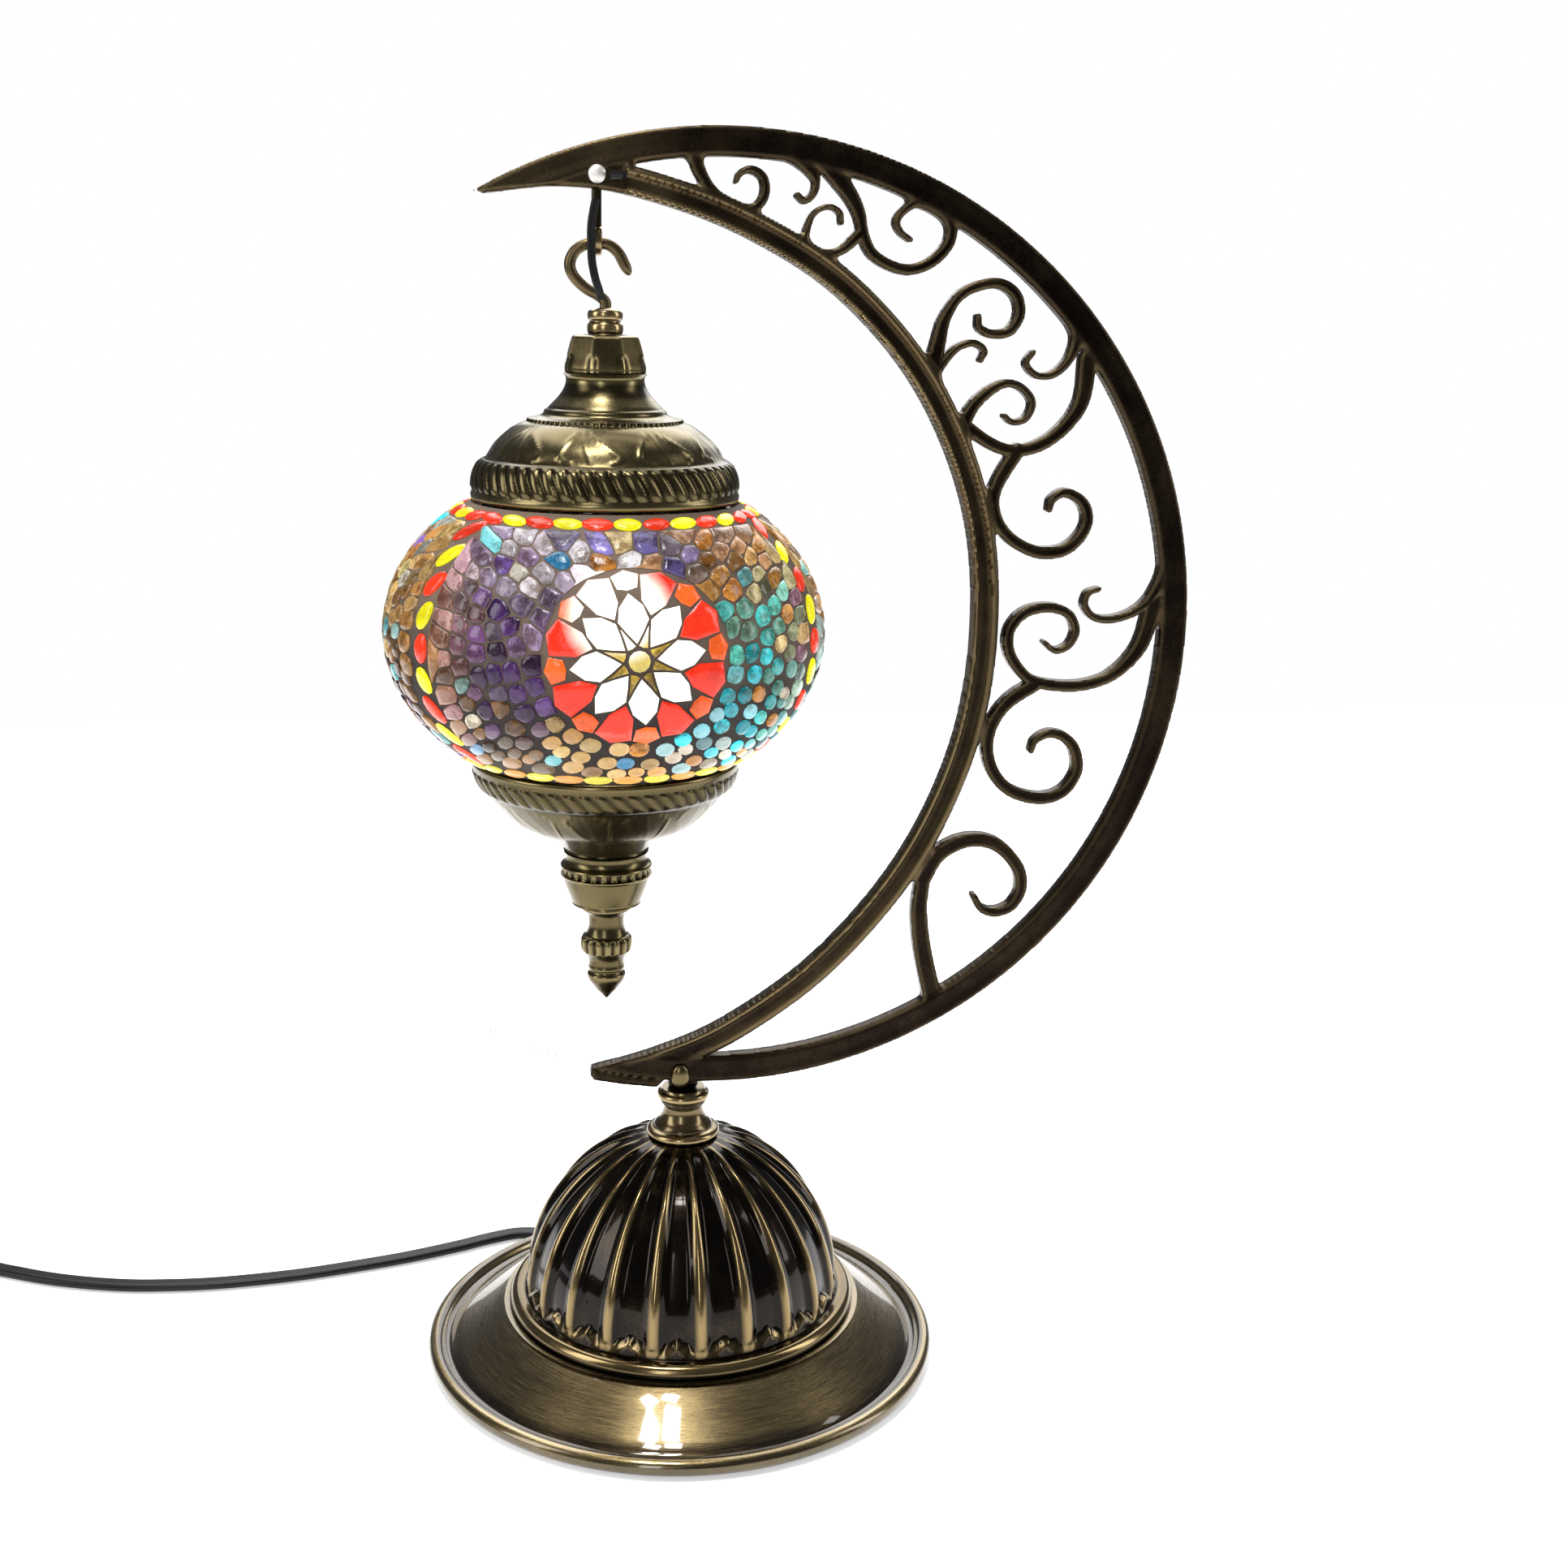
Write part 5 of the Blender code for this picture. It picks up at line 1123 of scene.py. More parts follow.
SCREW = [(0, SCREW_FOOT), (6.9, SCREW_FOOT), (7.1, 245.3), (7.1, 246.6)]
SCREW += [(7.1, z) for z in np.arange(247.0, 259.6, 0.22)]
SCREW += [(6.9, 260.0), (3.4, 260.8), (3.0, 260.9), (0, 260.92)]
screw = turned("bulb_screw", SCREW, shell_brass, "bulb", 64, AXIS, thread)
screw.data.transform(Matrix.Translation((0, 0, (foot_height("bulb_base") - SCREW_FOOT) * MM)))
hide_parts("bulb_base")
CANDLE = [(0.3, 0.0), (1.4, 0.25), (4.0, 1.5), (6.9, 4.2), (9.2, 8.0), (10.6, 12.0), (10.9, 15.5),
          (10.4, 20.0), (9.0, 26.0), (7.4, 31.0), (6.5, 35.0), (6.2, 37.9)]
outside = flow(CANDLE, 4)
inside = outside[::-1] * (0.93, 1.0)
inside[:, 1] = np.clip(inside[:, 1], 0.7, 37.9)
inside = inside[inside[:, 0] > 1.0]
glass_profile = np.vstack((outside, inside)) + (0.0, foot_height("bulb_glass"))
bulb_glass = turned("candle_glass", glass_profile, bulb_white, "bulb", 64, AXIS)
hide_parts("bulb_glass")
print("bulb made")

# %% [markdown]
# ## The mosaic
#
# The globe is an ellipsoid, 120 mm wide and 90 mm tall. Glass tiles sit in a thin
# coat of grout on it. A pattern is drawn on a plane with s, the distance round
# the globe, and t, the distance up along its surface, then laid on the globe:
# the turn is s over the globe's radius at that height. Three equal sectors each
# have a flower in the middle, with a chain of ovals between two sectors.

# %% From the plane to the globe
GLOBE_Z = 216.0
GLOBE_WIDE = 60.0
GLOBE_TALL = 45.0
fine = np.linspace(-math.pi / 2, math.pi / 2, 4001)
arc_step = np.hypot(GLOBE_WIDE * np.sin(fine), GLOBE_TALL * np.cos(fine))
arc_length = np.concatenate(([0.0], np.cumsum((arc_step[1:] + arc_step[:-1]) / 2)
                             * (fine[1] - fine[0])))
arc_length -= arc_length[2000]
COAT_LOW = 181.6
COAT_HIGH = 251.1
T_LOW = float(np.interp((COAT_LOW - GLOBE_Z) / GLOBE_TALL, np.sin(fine), arc_length))
T_HIGH = float(np.interp((COAT_HIGH - GLOBE_Z) / GLOBE_TALL, np.sin(fine), arc_length))
SECTORS = np.radians((-85.7, 34.3, 154.3))
print("coat from t = %.1f to %.1f mm" % (T_LOW, T_HIGH))


def wide_at(t):
    """The globe's radius at the height t along its surface."""
    return GLOBE_WIDE * np.cos(np.interp(t, arc_length, fine))


def on_globe(s, t, lift, middle):
    """Points on the globe, lift millimetres out from it along its normal."""
    lean = np.interp(t, arc_length, fine)
    turn = middle + s / (GLOBE_WIDE * np.cos(lean))
    normal = np.stack((np.cos(lean) / GLOBE_WIDE * np.cos(turn),
                       np.cos(lean) / GLOBE_WIDE * np.sin(turn),
                       np.sin(lean) / GLOBE_TALL), axis=-1)
    normal /= np.linalg.norm(normal, axis=-1, keepdims=True)
    ground = np.stack((AXIS + GLOBE_WIDE * np.cos(lean) * np.cos(turn),
                       GLOBE_WIDE * np.cos(lean) * np.sin(turn),
                       GLOBE_Z + GLOBE_TALL * np.sin(lean)), axis=-1)
    return ground + normal * np.asarray(lift)[..., None]


# %% [markdown]
# Each tile is an outline of 12 points round its seed. The flower's tiles are
# drawn from lists of (distance, angle). Every other tile is a cell: in each of
# the 12 directions its edge is half way to the nearest neighbour, less half the
# grout. A cell may also be drawn as a bead, which is the same outline rounded.

# %% Outlines
K = 12                          # points on a tile's outline
SPOKES = circle(K)
GROUT = 0.3
FLOWER_T = 2.0                  # how far a flower's middle is above the globe's widest line
FLOWER_EDGE = 24.7


def polar_tile(corners, turn_by):
    """A closed outline of K points, evenly spaced along the polygon of corners
    given as (distance from the flower's middle, degrees)."""
    corners = np.array(corners, dtype=float)
    angle = np.radians(corners[:, 1]) + turn_by
    points = np.column_stack((corners[:, 0] * np.cos(angle), corners[:, 0] * np.sin(angle)))
    loop = np.vstack((points, points[:1]))
    run = np.concatenate(([0.0], np.cumsum(np.linalg.norm(np.diff(loop, axis=0), axis=1))))
    at = np.linspace(0.0, run[-1], K + 1)[:-1]
    even = np.column_stack((np.interp(at, run, loop[:, 0]), np.interp(at, run, loop[:, 1])))
    # each corner is kept by the evenly spaced point nearest to it
    for corner, place in zip(points, run[:-1]):
        even[int(round(place / run[-1] * K)) % K] = corner
    middle = even.mean(axis=0)
    return middle, even - middle


def flower_tiles():
    """The flower in the middle of a sector: button, gold points, eight white
    petals, eight red kites between them and eight small red tips."""
    tiles = []
    eighth = np.pi / 4
    for n in range(8):
        turn = n * eighth + 0.12
        tiles.append(("gold", *polar_tile([(3.9, -18), (9.4, 0), (3.9, 18), (3.5, 0)], turn
                                          + eighth / 2)))
        tiles.append(("white", *polar_tile([(4.4, 0), (7.6, -16.5), (11.0, -21.4), (14.4, -12.5),
                                            (17.6, 0), (14.4, 12.5), (11.0, 21.4), (7.6, 16.5)],
                                           turn)))
        tiles.append(("red", *polar_tile([(11.9, 22.5), (15.6, 10.6), (22.6, 9.8), (24.2, 22.5),
                                          (22.6, 35.2), (15.6, 34.4)], turn)))
        tiles.append(("tip", *polar_tile([(18.2, 0), (19.0, -8.0), (22.8, -9.2), (24.2, 0),
                                          (22.8, 9.2), (19.0, 8.0)], turn)))
    ring = np.column_stack((2.9 * np.cos(SPOKES), 2.9 * np.sin(SPOKES)))
    tiles.append(("button", np.zeros(2), ring))
    return tiles


def chain_seeds():
    """Ovals up the border between sectors and along both edges."""
    rows = []
    for n, t in enumerate(np.arange(T_LOW + 9.0, T_HIGH - 6.5, 8.6)):
        rows.append(("yellow" if n % 2 else "scarlet", math.pi / 3, t, 2.9, 3.9))
    for n in range(11):
        turn = math.pi / 3 * (n - 5) / 5.5
        rows.append(("yellow" if n % 2 else "scarlet", turn, T_HIGH - 2.7, 4.1, 2.2))
        rows.append(("amber" if n % 2 else "lime", turn, T_LOW + 2.7, 4.0, 2.2))
    return rows


# %% Cells between the flower and the chains
def cell_seeds():
    """Jittered rings of seeds round the flower, clipped to the sector."""
    seeds = []
    for ring, radius in enumerate(np.arange(27.0, 80.0, 5.3)):
        size = np.interp(radius, [27, 45, 80], [6.0, 5.2, 4.7])
        count = int(2 * np.pi * radius / size)
        angle = 2 * np.pi * (np.arange(count) + rng.uniform(0, 1)) / count
        angle += rng.normal(0, 0.12, count) * size / radius
        far = radius + rng.normal(0, 0.16, count) * 5.0
        seeds.append(np.column_stack((far * np.cos(angle), FLOWER_T + far * np.sin(angle))))
    seeds = np.vstack(seeds)
    edge = np.radians(60.0) * wide_at(seeds[:, 1])
    inside = (np.abs(seeds[:, 0]) < edge - 5.2) & (seeds[:, 1] > T_LOW + 6.6) \
        & (seeds[:, 1] < T_HIGH - 6.6)
    return seeds[inside]


def cells(seeds):
    """Outlines round the seeds: K distances each, from the neighbours' half way
    planes, and from the round, side, top and bottom limits."""
    apart = seeds[None, :, :] - seeds[:, None, :]
    far = np.linalg.norm(apart, axis=2)
    np.fill_diagonal(far, np.inf)
    reach = np.full((len(seeds), K), 9.0)
    heading = np.arctan2(apart[..., 1], apart[..., 0])
    for k, spoke in enumerate(SPOKES):
        facing = np.cos(heading - spoke)
        near = np.where((facing > 0.15) & (far < 16), far / (2 * np.maximum(facing, 0.15)), 9.0)
        reach[:, k] = near.min(axis=1)
    outline = np.stack((reach * np.cos(SPOKES), reach * np.sin(SPOKES)), axis=-1)
    shrink = 1 - GROUT / np.maximum(reach, 1.0)
    outline *= shrink[..., None]
    # keep clear of the flower, the chains and both edges
    place = outline + seeds[:, None, :]
    from_flower = place - (0.0, FLOWER_T)
    span = np.linalg.norm(from_flower, axis=2)
    push = np.maximum(FLOWER_EDGE - span, 0.0) / span
    place += from_flower * push[..., None]
    side = np.radians(60.0) * wide_at(place[..., 1]) - 3.5
    place[..., 0] = np.clip(place[..., 0], -side, side)
    place[..., 1] = np.clip(place[..., 1], T_LOW + 5.4, T_HIGH - 5.4)
    return place - seeds[:, None, :]


# %% [markdown]
# A tile's colour depends on where it lies round the flower: aqua on the right,
# amber at the far right, violet and grey above, lilac at the upper left, deep
# violet at the left, brown and amber below. The second and third sectors turn
# the same wheel by a third, so each side of the globe looks different.

# %% Colours
NAMED = {"gold": (0.72, 0.50, 0.08), "white": (1.0, 0.97, 0.86), "red": (0.95, 0.035, 0.012),
         "tip": (0.95, 0.13, 0.02), "button": (0.80, 0.62, 0.16), "yellow": (0.95, 0.88, 0.01),
         "scarlet": (0.95, 0.045, 0.012), "amber": (0.85, 0.38, 0.06), "lime": (0.80, 0.70, 0.05)}
WHEEL_TURN = np.radians((-180, -150, -120, -95, -70, -45, -20, 5, 35, 65, 95, 125, 155, 180))
WHEEL = np.array(((0.10, 0.03, 0.20), (0.07, 0.035, 0.02), (0.30, 0.14, 0.04),
                  (0.90, 0.62, 0.24), (0.70, 0.28, 0.05), (0.05, 0.52, 0.66),
                  (0.03, 0.66, 0.76), (0.12, 0.62, 0.50), (0.90, 0.42, 0.08),
                  (0.30, 0.22, 0.20), (0.22, 0.16, 0.62), (0.80, 0.74, 0.78),
                  (0.30, 0.20, 0.34), (0.10, 0.03, 0.20)))
ACCENT = np.array(((0.85, 0.80, 0.66), (0.70, 0.28, 0.05), (0.03, 0.22, 0.42),
                   (0.22, 0.12, 0.45), (0.80, 0.60, 0.30), (0.20, 0.62, 0.66)))


def wheel_colour(seeds, shift):
    """A colour from the wheel by the turn round the flower, some tiles an accent
    instead, amber towards the sector's sides, each lighter or darker."""
    angle = np.arctan2(seeds[:, 1] - FLOWER_T, seeds[:, 0]) + shift
    angle = (angle + np.pi + rng.normal(0, 0.22, len(seeds))) % (2 * np.pi) - np.pi
    tint = np.column_stack([np.interp(angle, WHEEL_TURN, WHEEL[:, c]) for c in range(3)])
    odd = rng.uniform(0, 1, len(seeds)) < 0.16
    tint[odd] = ACCENT[rng.integers(0, len(ACCENT), odd.sum())]
    far = np.clip((np.abs(seeds[:, 0]) - 40) / 18, 0, 1)[:, None]
    warm = np.array((0.85, 0.42, 0.10))
    tint = tint * (1 - 0.55 * far) + warm * 0.55 * far
    return tint * rng.uniform(0.35, 1.5, (len(seeds), 1))


# %% Tiles
outlines, middles, tints, glows, sector_of, domes = [], [], [], [], [], []
for number, middle in enumerate(SECTORS):
    for kind, centre, outline in flower_tiles():
        shrink = 1 - GROUT / 2 / np.maximum(np.linalg.norm(outline, axis=1), 1.2)
        outlines.append(outline * shrink[:, None])
        middles.append(centre + (0.0, FLOWER_T))
        tints.append(np.array(NAMED[kind]) * rng.uniform(0.8, 1.15))
        glows.append({"white": 1.05, "button": 0.8, "gold": 0.7}.get(kind, 0.85))
        sector_of.append(number)
        domes.append(0.5)
    for kind, turn, t, across, along in chain_seeds():
        centre = np.array((turn * wide_at(t), t))
        outlines.append(np.column_stack((across * np.cos(SPOKES), along * np.sin(SPOKES)))
                        * rng.uniform(0.88, 1.04, 2))
        middles.append(centre)
        tints.append(np.array(NAMED[kind]) * rng.uniform(0.85, 1.1))
        glows.append(0.85)
        sector_of.append(number)
        domes.append(0.8)
    seeds = cell_seeds()
    shapes = cells(seeds)
    round_share = np.clip((30 - seeds[:, 1] + seeds[:, 0] * 0.3) / 60, 0.1, 0.9) ** 1.4
    mean = np.linalg.norm(shapes, axis=2).mean(axis=1) * 0.84
    bead = np.stack((mean[:, None] * np.cos(SPOKES), mean[:, None] * np.sin(SPOKES)), axis=-1)
    shapes = shapes * (1 - round_share[:, None, None]) + bead * round_share[:, None, None]
    outlines.extend(shapes)
    middles.extend(seeds)
    tints.extend(wheel_colour(seeds, (0.0, 2.1, -2.1)[number]))
    glows.extend(rng.uniform(0.6, 0.85, len(seeds)))
    sector_of.extend([number] * len(seeds))
    domes.extend(rng.uniform(0.5, 0.8, len(seeds)))
outlines = np.array(outlines)
middles = np.array(middles)
tints = np.array(tints)
glows = np.array(glows)
turns = SECTORS[np.array(sector_of)]
domes = np.array(domes)
print(len(outlines), "tiles")

# %% [markdown]
# A tile is four rings of 12 points: the foot in the grout, the shoulder, a
# higher ring inside it, and the crown. Fans close the crown and the foot.

# %% Tile mesh
RINGS = ((0.98, -1.5), (1.0, -0.45), (0.86, -0.12), (0.5, 0.0))
levels = []
for share, lift in RINGS:
    plan = middles[:, None, :] + outlines * share
    height = np.full(plan.shape[:2], lift) + (domes[:, None] - 0.8) * 0.5 * (lift > -1)
    levels.append(on_globe(plan[..., 0], plan[..., 1], height, turns[:, None]))
crown = on_globe(middles[:, 0], middles[:, 1], 0.03 + (domes - 0.8) * 0.5, turns)
foot = on_globe(middles[:, 0], middles[:, 1], np.full(len(middles), -1.5), turns)
rings = np.stack(levels, axis=1).reshape(len(outlines), 4 * K, 3)
block = np.concatenate((rings, crown[:, None], foot[:, None]), axis=1)
per_tile = 4 * K + 2
k = np.arange(K)
after = (k + 1) % K
quads = np.concatenate([np.stack((n * K + k, n * K + after, (n + 1) * K + after,
                                  (n + 1) * K + k), axis=-1) for n in range(3)])
tris = np.concatenate((np.stack((3 * K + k, 3 * K + after, np.full(K, 4 * K)), axis=-1),
                       np.stack((after, k, np.full(K, 4 * K + 1)), axis=-1)))
base = np.arange(len(outlines))[:, None, None] * per_tile
tile_tint = np.repeat(np.clip(tints, 0, 1), per_tile, axis=0)


# %% [markdown]
# The lamp is lit. Each point of a tile glows by its colour, by the tile's own
# thickness and by its distance from a bright spot. That spot is a painted hot
# spot: one fixed place on the front sector where the glow is raised and the
# tiles turn white. The lowest tiles are painted to glow more too, and clear
# tiles let the white through.

# %% Lit glass
def stained_glass():
    """Glossy coloured glass that glows with its own tint."""
    finish = Finish("stained_glass", Roughness=0.16, Emission_Strength=1.6, Coat_Weight=0.15,
                    Coat_Roughness=0.03, Specular_IOR_Level=0.3)
    tint = finish.attribute("tint", 0)
    glow = finish.attribute("wear_and_light")
    cloud = finish.noise(420.0, 4.0, rough=0.65)
    crackle = finish.noise(1500.0, 3.0, rough=0.7)
    deep = finish.mix((cloud * 1.6 - 0.3).clamp(), tint, (0.55, 0.55, 0.55), "MULTIPLY")
    marble = finish.noise(210.0, 6.0, rough=0.8)
    # A high glow keeps the tint bright, and past 0.92 turns it near white. The painted hot spot
    # and the painted low band give such a glow too.
    clear = (marble.band(0.40, 0.60) + ((glow - 0.82) * 20.0).clamp()).clamp()
    deep = finish.mix(clear, finish.mix(1.0, deep, (0.30, 0.26, 0.22), "MULTIPLY"), deep)
    light = finish.mix(((glow - 0.92) * 6.0).clamp(), deep, (1.0, 0.96, 0.82))
    scale = finish.add("ShaderNodeVectorMath", {"operation": "SCALE"},
                       {0: light, 3: glow * (0.75 + crackle * 0.5)})
    dim = finish.add("ShaderNodeVectorMath", {"operation": "SCALE"}, {0: deep, 3: 0.11})
    finish.set(Base_Color=dim, Emission_Color=scale, Normal=finish.bump(cloud, 0.0002))
    return finish


glass_finish = stained_glass()
all_points = block.reshape(-1, 3)
# The painted hot spot: the glow is raised round one fixed point on the front sector.
spot = on_globe(np.array(-4.6), np.array(14.0), np.array(0.0), SECTORS[0])
near = np.exp(-(np.linalg.norm(all_points - spot, axis=1) / 9.5) ** 2)
glow = np.repeat(glows, per_tile)
# Painted light: the lowest tiles are made to glow more.
low_band = 1 - ramp(all_points[:, 2], COAT_LOW + 6.0, COAT_LOW + 24.0)
glow = np.maximum(glow, np.minimum(glow + 0.3 * low_band, 0.93)) + near * 0.8
tile_faces = [(base + quads).reshape(-1, 4), (base + tris).reshape(-1, 3)]
tiles = link_mesh("mosaic_tiles", all_points * MM, tile_faces, glass_finish, "lantern", 38.0,
                  np.clip(glow, 0, 1.6), tile_tint)
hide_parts("mosaic_coat")

grout = Finish("lit_grout", Roughness=0.75, Emission_Strength=1.0)
patch = grout.noise(45.0, 4.0)
sand = grout.noise(1800.0, 4.0)
# The grout's colour and glow carry painted light: paler where the key light falls.
painted_light_share = grout.attribute("wear_and_light")
tone = grout.mix((painted_light_share + (patch - 0.5) * 0.9).clamp(), (0.012, 0.007, 0.005),
                 (0.20, 0.14, 0.10))
grout.set(Base_Color=tone, Normal=grout.bump(sand, 0.0001),
          Emission_Color=grout.mix(0.3, (0.0, 0.0, 0.0), tone))
OUTSIDE = (59.2, 44.2)          # half the width and the height of the grout's outer face
INSIDE = (58.3, 43.3)
lean = np.linspace(math.asin((COAT_LOW - GLOBE_Z) / OUTSIDE[1]),
                   math.asin((COAT_HIGH - GLOBE_Z) / OUTSIDE[1]), 60)
faces_of_coat = [np.column_stack((wide * np.cos(lean), GLOBE_Z + tall * np.sin(lean)))
                 for wide, tall in (OUTSIDE, INSIDE)]
coat = np.vstack((faces_of_coat[0], faces_of_coat[1][::-1]))


def grout_painted_light(radius, height, turn):
    """Painted light: pale at the front and left of the globe, where the key light
    falls, and dark round to the right and low.
    """
    pale = 0.5 + 0.5 * np.cos(turn - math.radians(-115.0))
    return radius, height, np.clip(pale * 0.62 * ramp(height, 198, 236), 0, 1)


skin = turned("grout_skin", coat, grout, "lantern", 160, AXIS, grout_painted_light)
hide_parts("mosaic_coat")
print("mosaic made")


# %% [markdown]
# ## The crescent
#
# The casting is drawn by distances. For every point of a fine grid in the XZ
# plane, one number says how far the point is inside or outside the metal: less
# than zero is inside. The plate is a circle less the inner edge, the window is
# the plate drawn in by the widths of its two rims, and each scroll is all the
# points near a centre line. A soft minimum joins scrolls to rims with a fillet,
# as in a casting.

# %% Numbers of the casting
RING = np.array((10.4, 215.7))
RING_RADIUS = 132.3
BAND = 7.6
RAIL = 7.2
INNER_EDGE = [(-53.5, 329.6), (-34.0, 331.8), (-14.0, 329.6), (13.0, 320.9), (39.5, 305.5),
              (62.0, 281.0), (76.5, 249.0), (80.3, 215.0), (75.5, 181.5), (61.0, 149.0),
              (38.0, 121.0), (12.0, 102.0), (-9.0, 93.0), (-26.3, 88.5)]
TOP_TIP = (-55.6, 330.4)
BOTTOM_TIP = [(-27.2, 86.8), (-26.0, 85.2), (-17.5, 83.5), (-8.0, 82.2)]

# scrolls: centre line, then widths from root to tip
SCROLLS = {
    "strut_a": ([(0.5, 341.5), (2.2, 336.5), (5.5, 331.8), (10.5, 328.3), (15.2, 327.3),
                 (18.4, 329.3), (19.5, 332.5), (18.6, 335.7), (15.6, 337.3), (12.8, 336.3),
                 (11.8, 334.2)], (4.0, 2.2, 2.6, 2.2, 1.2)),
    "comma_b": ([(28.5, 341.0), (32.6, 336.0), (32.4, 332.0), (30.0, 329.9), (28.1, 331.2)],
                (5.0, 2.0, 1.8, 1.6)),
    "strut_c": ([(35.3, 339.5), (41.6, 332.3), (44.6, 327.0), (46.0, 321.5), (48.4, 317.0),
                 (53.4, 314.0), (59.0, 313.0), (64.8, 315.2), (69.1, 319.8), (69.6, 324.5),
                 (66.5, 328.4), (60.8, 330.3), (56.6, 328.1), (54.8, 325.2), (56.0, 322.6),
                 (58.7, 320.7)], (5.0, 3.0, 2.8, 3.0, 3.0, 2.0, 1.4)),
    "loop_d": ([(29.9, 315.5), (30.6, 322.0), (32.6, 326.8), (36.5, 328.5), (39.4, 327.2),
                (39.9, 324.6)], (2.4, 1.5, 1.4, 1.4)),
    "foot_d": ([(33.0, 315.2), (36.5, 316.4), (40.6, 317.8), (45.2, 322.0)], (3.0, 2.2, 3.0)),
    "curl_f1": ([(65.5, 283.0), (67.3, 293.5), (69.2, 301.0), (74.0, 307.4), (82.4, 310.0),
                 (88.0, 307.5), (89.7, 302.3), (87.2, 297.6), (82.4, 296.6), (78.7, 298.2),
                 (78.2, 301.2)], (5.0, 2.6, 3.0, 2.6, 1.6)),
    "curl_f2": ([(66.0, 284.5), (70.5, 290.8), (73.8, 293.4), (77.5, 294.1), (80.3, 292.2),
                 (79.4, 289.6)], (2.6, 2.0, 1.8, 1.4)),
    "curl_f3": ([(74.0, 269.0), (78.0, 277.5), (84.8, 283.0), (90.2, 283.0), (94.3, 279.0),
                 (93.0, 274.4), (89.2, 273.1), (86.8, 274.8)], (4.0, 2.2, 1.9, 1.4)),
    "strut_g": ([(74.5, 273.0), (83.0, 267.4), (90.0, 265.4), (97.8, 267.3), (104.4, 272.5),
                 (108.6, 279.5), (109.6, 290.5)], (3.4, 3.2, 3.6, 4.8)),
    "curl_f4": ([(105.6, 303.0), (106.4, 296.5), (104.3, 290.4), (100.2, 286.3), (95.4, 285.8),
                 (92.2, 288.9), (94.0, 292.0)], (5.0, 2.4, 1.8, 1.4)),
    "curl_h": ([(91.0, 265.5), (86.2, 257.5), (84.6, 252.0), (86.0, 246.3), (89.8, 241.5),
                (95.5, 238.2), (100.4, 237.2), (106.2, 238.3), (110.6, 242.4), (112.0, 247.2),
                (110.0, 251.7), (105.2, 254.0), (101.6, 252.2), (100.8, 249.4)],
               (4.0, 3.2, 3.4, 3.0, 1.8)),
    "curl_i": ([(135.4, 231.0), (131.6, 224.0), (127.0, 220.3), (121.0, 218.4), (115.6, 219.0),
                (112.7, 222.4), (113.5, 225.8), (116.6, 227.0)], (3.4, 2.2, 2.0, 1.4)),
    "curl_j": ([(132.8, 222.0), (130.4, 212.2), (126.3, 206.0), (120.5, 201.5), (113.5, 199.4),
                (106.0, 199.3), (98.4, 200.9), (93.6, 205.3), (91.0, 210.5), (91.4, 216.0),
                (95.4, 220.4), (102.0, 221.8), (108.0, 220.0), (110.4, 215.2), (108.6, 211.0),
                (104.8, 209.5), (101.5, 211.8)], (5.0, 3.0, 3.0, 3.0, 2.4, 1.4)),
    "curl_l": ([(99.0, 199.6), (92.3, 195.3), (87.8, 189.5), (86.2, 182.0), (88.3, 174.5),
                (93.6, 168.8), (102.0, 166.3), (109.0, 168.0), (113.1, 174.0), (112.3, 180.3),
                (109.0, 184.2), (104.3, 185.4), (100.3, 183.4), (99.2, 180.4)],
               (4.0, 3.4, 3.4, 3.0, 1.6)),
    "curl_m": ([(68.8, 143.0), (72.6, 149.6), (78.3, 153.2), (84.0, 154.3), (89.6, 153.0),
                (94.3, 149.3), (97.7, 144.3), (98.2, 138.7), (95.6, 134.0), (91.0, 132.2),
                (86.8, 133.4), (84.3, 137.2)], (5.0, 4.0, 3.6, 3.0, 1.8)),
    "strut_m": ([(70.0, 150.0), (68.4, 138.0), (68.3, 131.0), (69.8, 120.5), (73.2, 106.5)],
                (4.0, 4.8, 5.4)),
}


# %% Distances
CELL = 0.55
GRID_X = np.arange(-57.0, 144.0, CELL)
GRID_Z = np.arange(80.5, 349.5, CELL)
px, pz = np.meshgrid(GRID_X, GRID_Z, indexing="ij")
print("grid:", px.shape)


def to_line(x, z, line, widths=None):
    """Distance from points to a line of knots, less half its width there."""
    best = np.full(x.shape, 1e3)
    share = np.linspace(0, 1, len(line))
    half = np.zeros(len(line)) if widths is None else np.interp(
        share, np.linspace(0, 1, len(widths)), widths) / 2
    for a, b, wide_a, wide_b in zip(line, line[1:], half, half[1:]):
        step = b - a
        t = np.clip(((x - a[0]) * step[0] + (z - a[1]) * step[1]) / max(step @ step, 1e-9), 0, 1)
        gap = np.hypot(x - a[0] - t * step[0], z - a[1] - t * step[1])
        best = np.minimum(best, gap - wide_a - t * (wide_b - wide_a))
    return best


def inside_of(x, z, loop):
    """True for points inside a closed loop, by counting crossings."""
    inside = np.zeros(x.shape, dtype=bool)
    for a, b in zip(loop, np.roll(loop, -1, axis=0)):
        if a[1] == b[1]:
            continue
        at = (b[0] - a[0]) * (z - a[1]) / (b[1] - a[1]) + a[0]
        inside ^= ((a[1] > z) != (b[1] > z)) & (x < at)
    return inside


def soft_min(a, b, fillet):
    """The smaller of two distances, rounded where they meet."""
    mix = np.clip(0.5 + 0.5 * (b - a) / fillet, 0, 1)
    return b + (a - b) * mix - fillet * mix * (1 - mix)


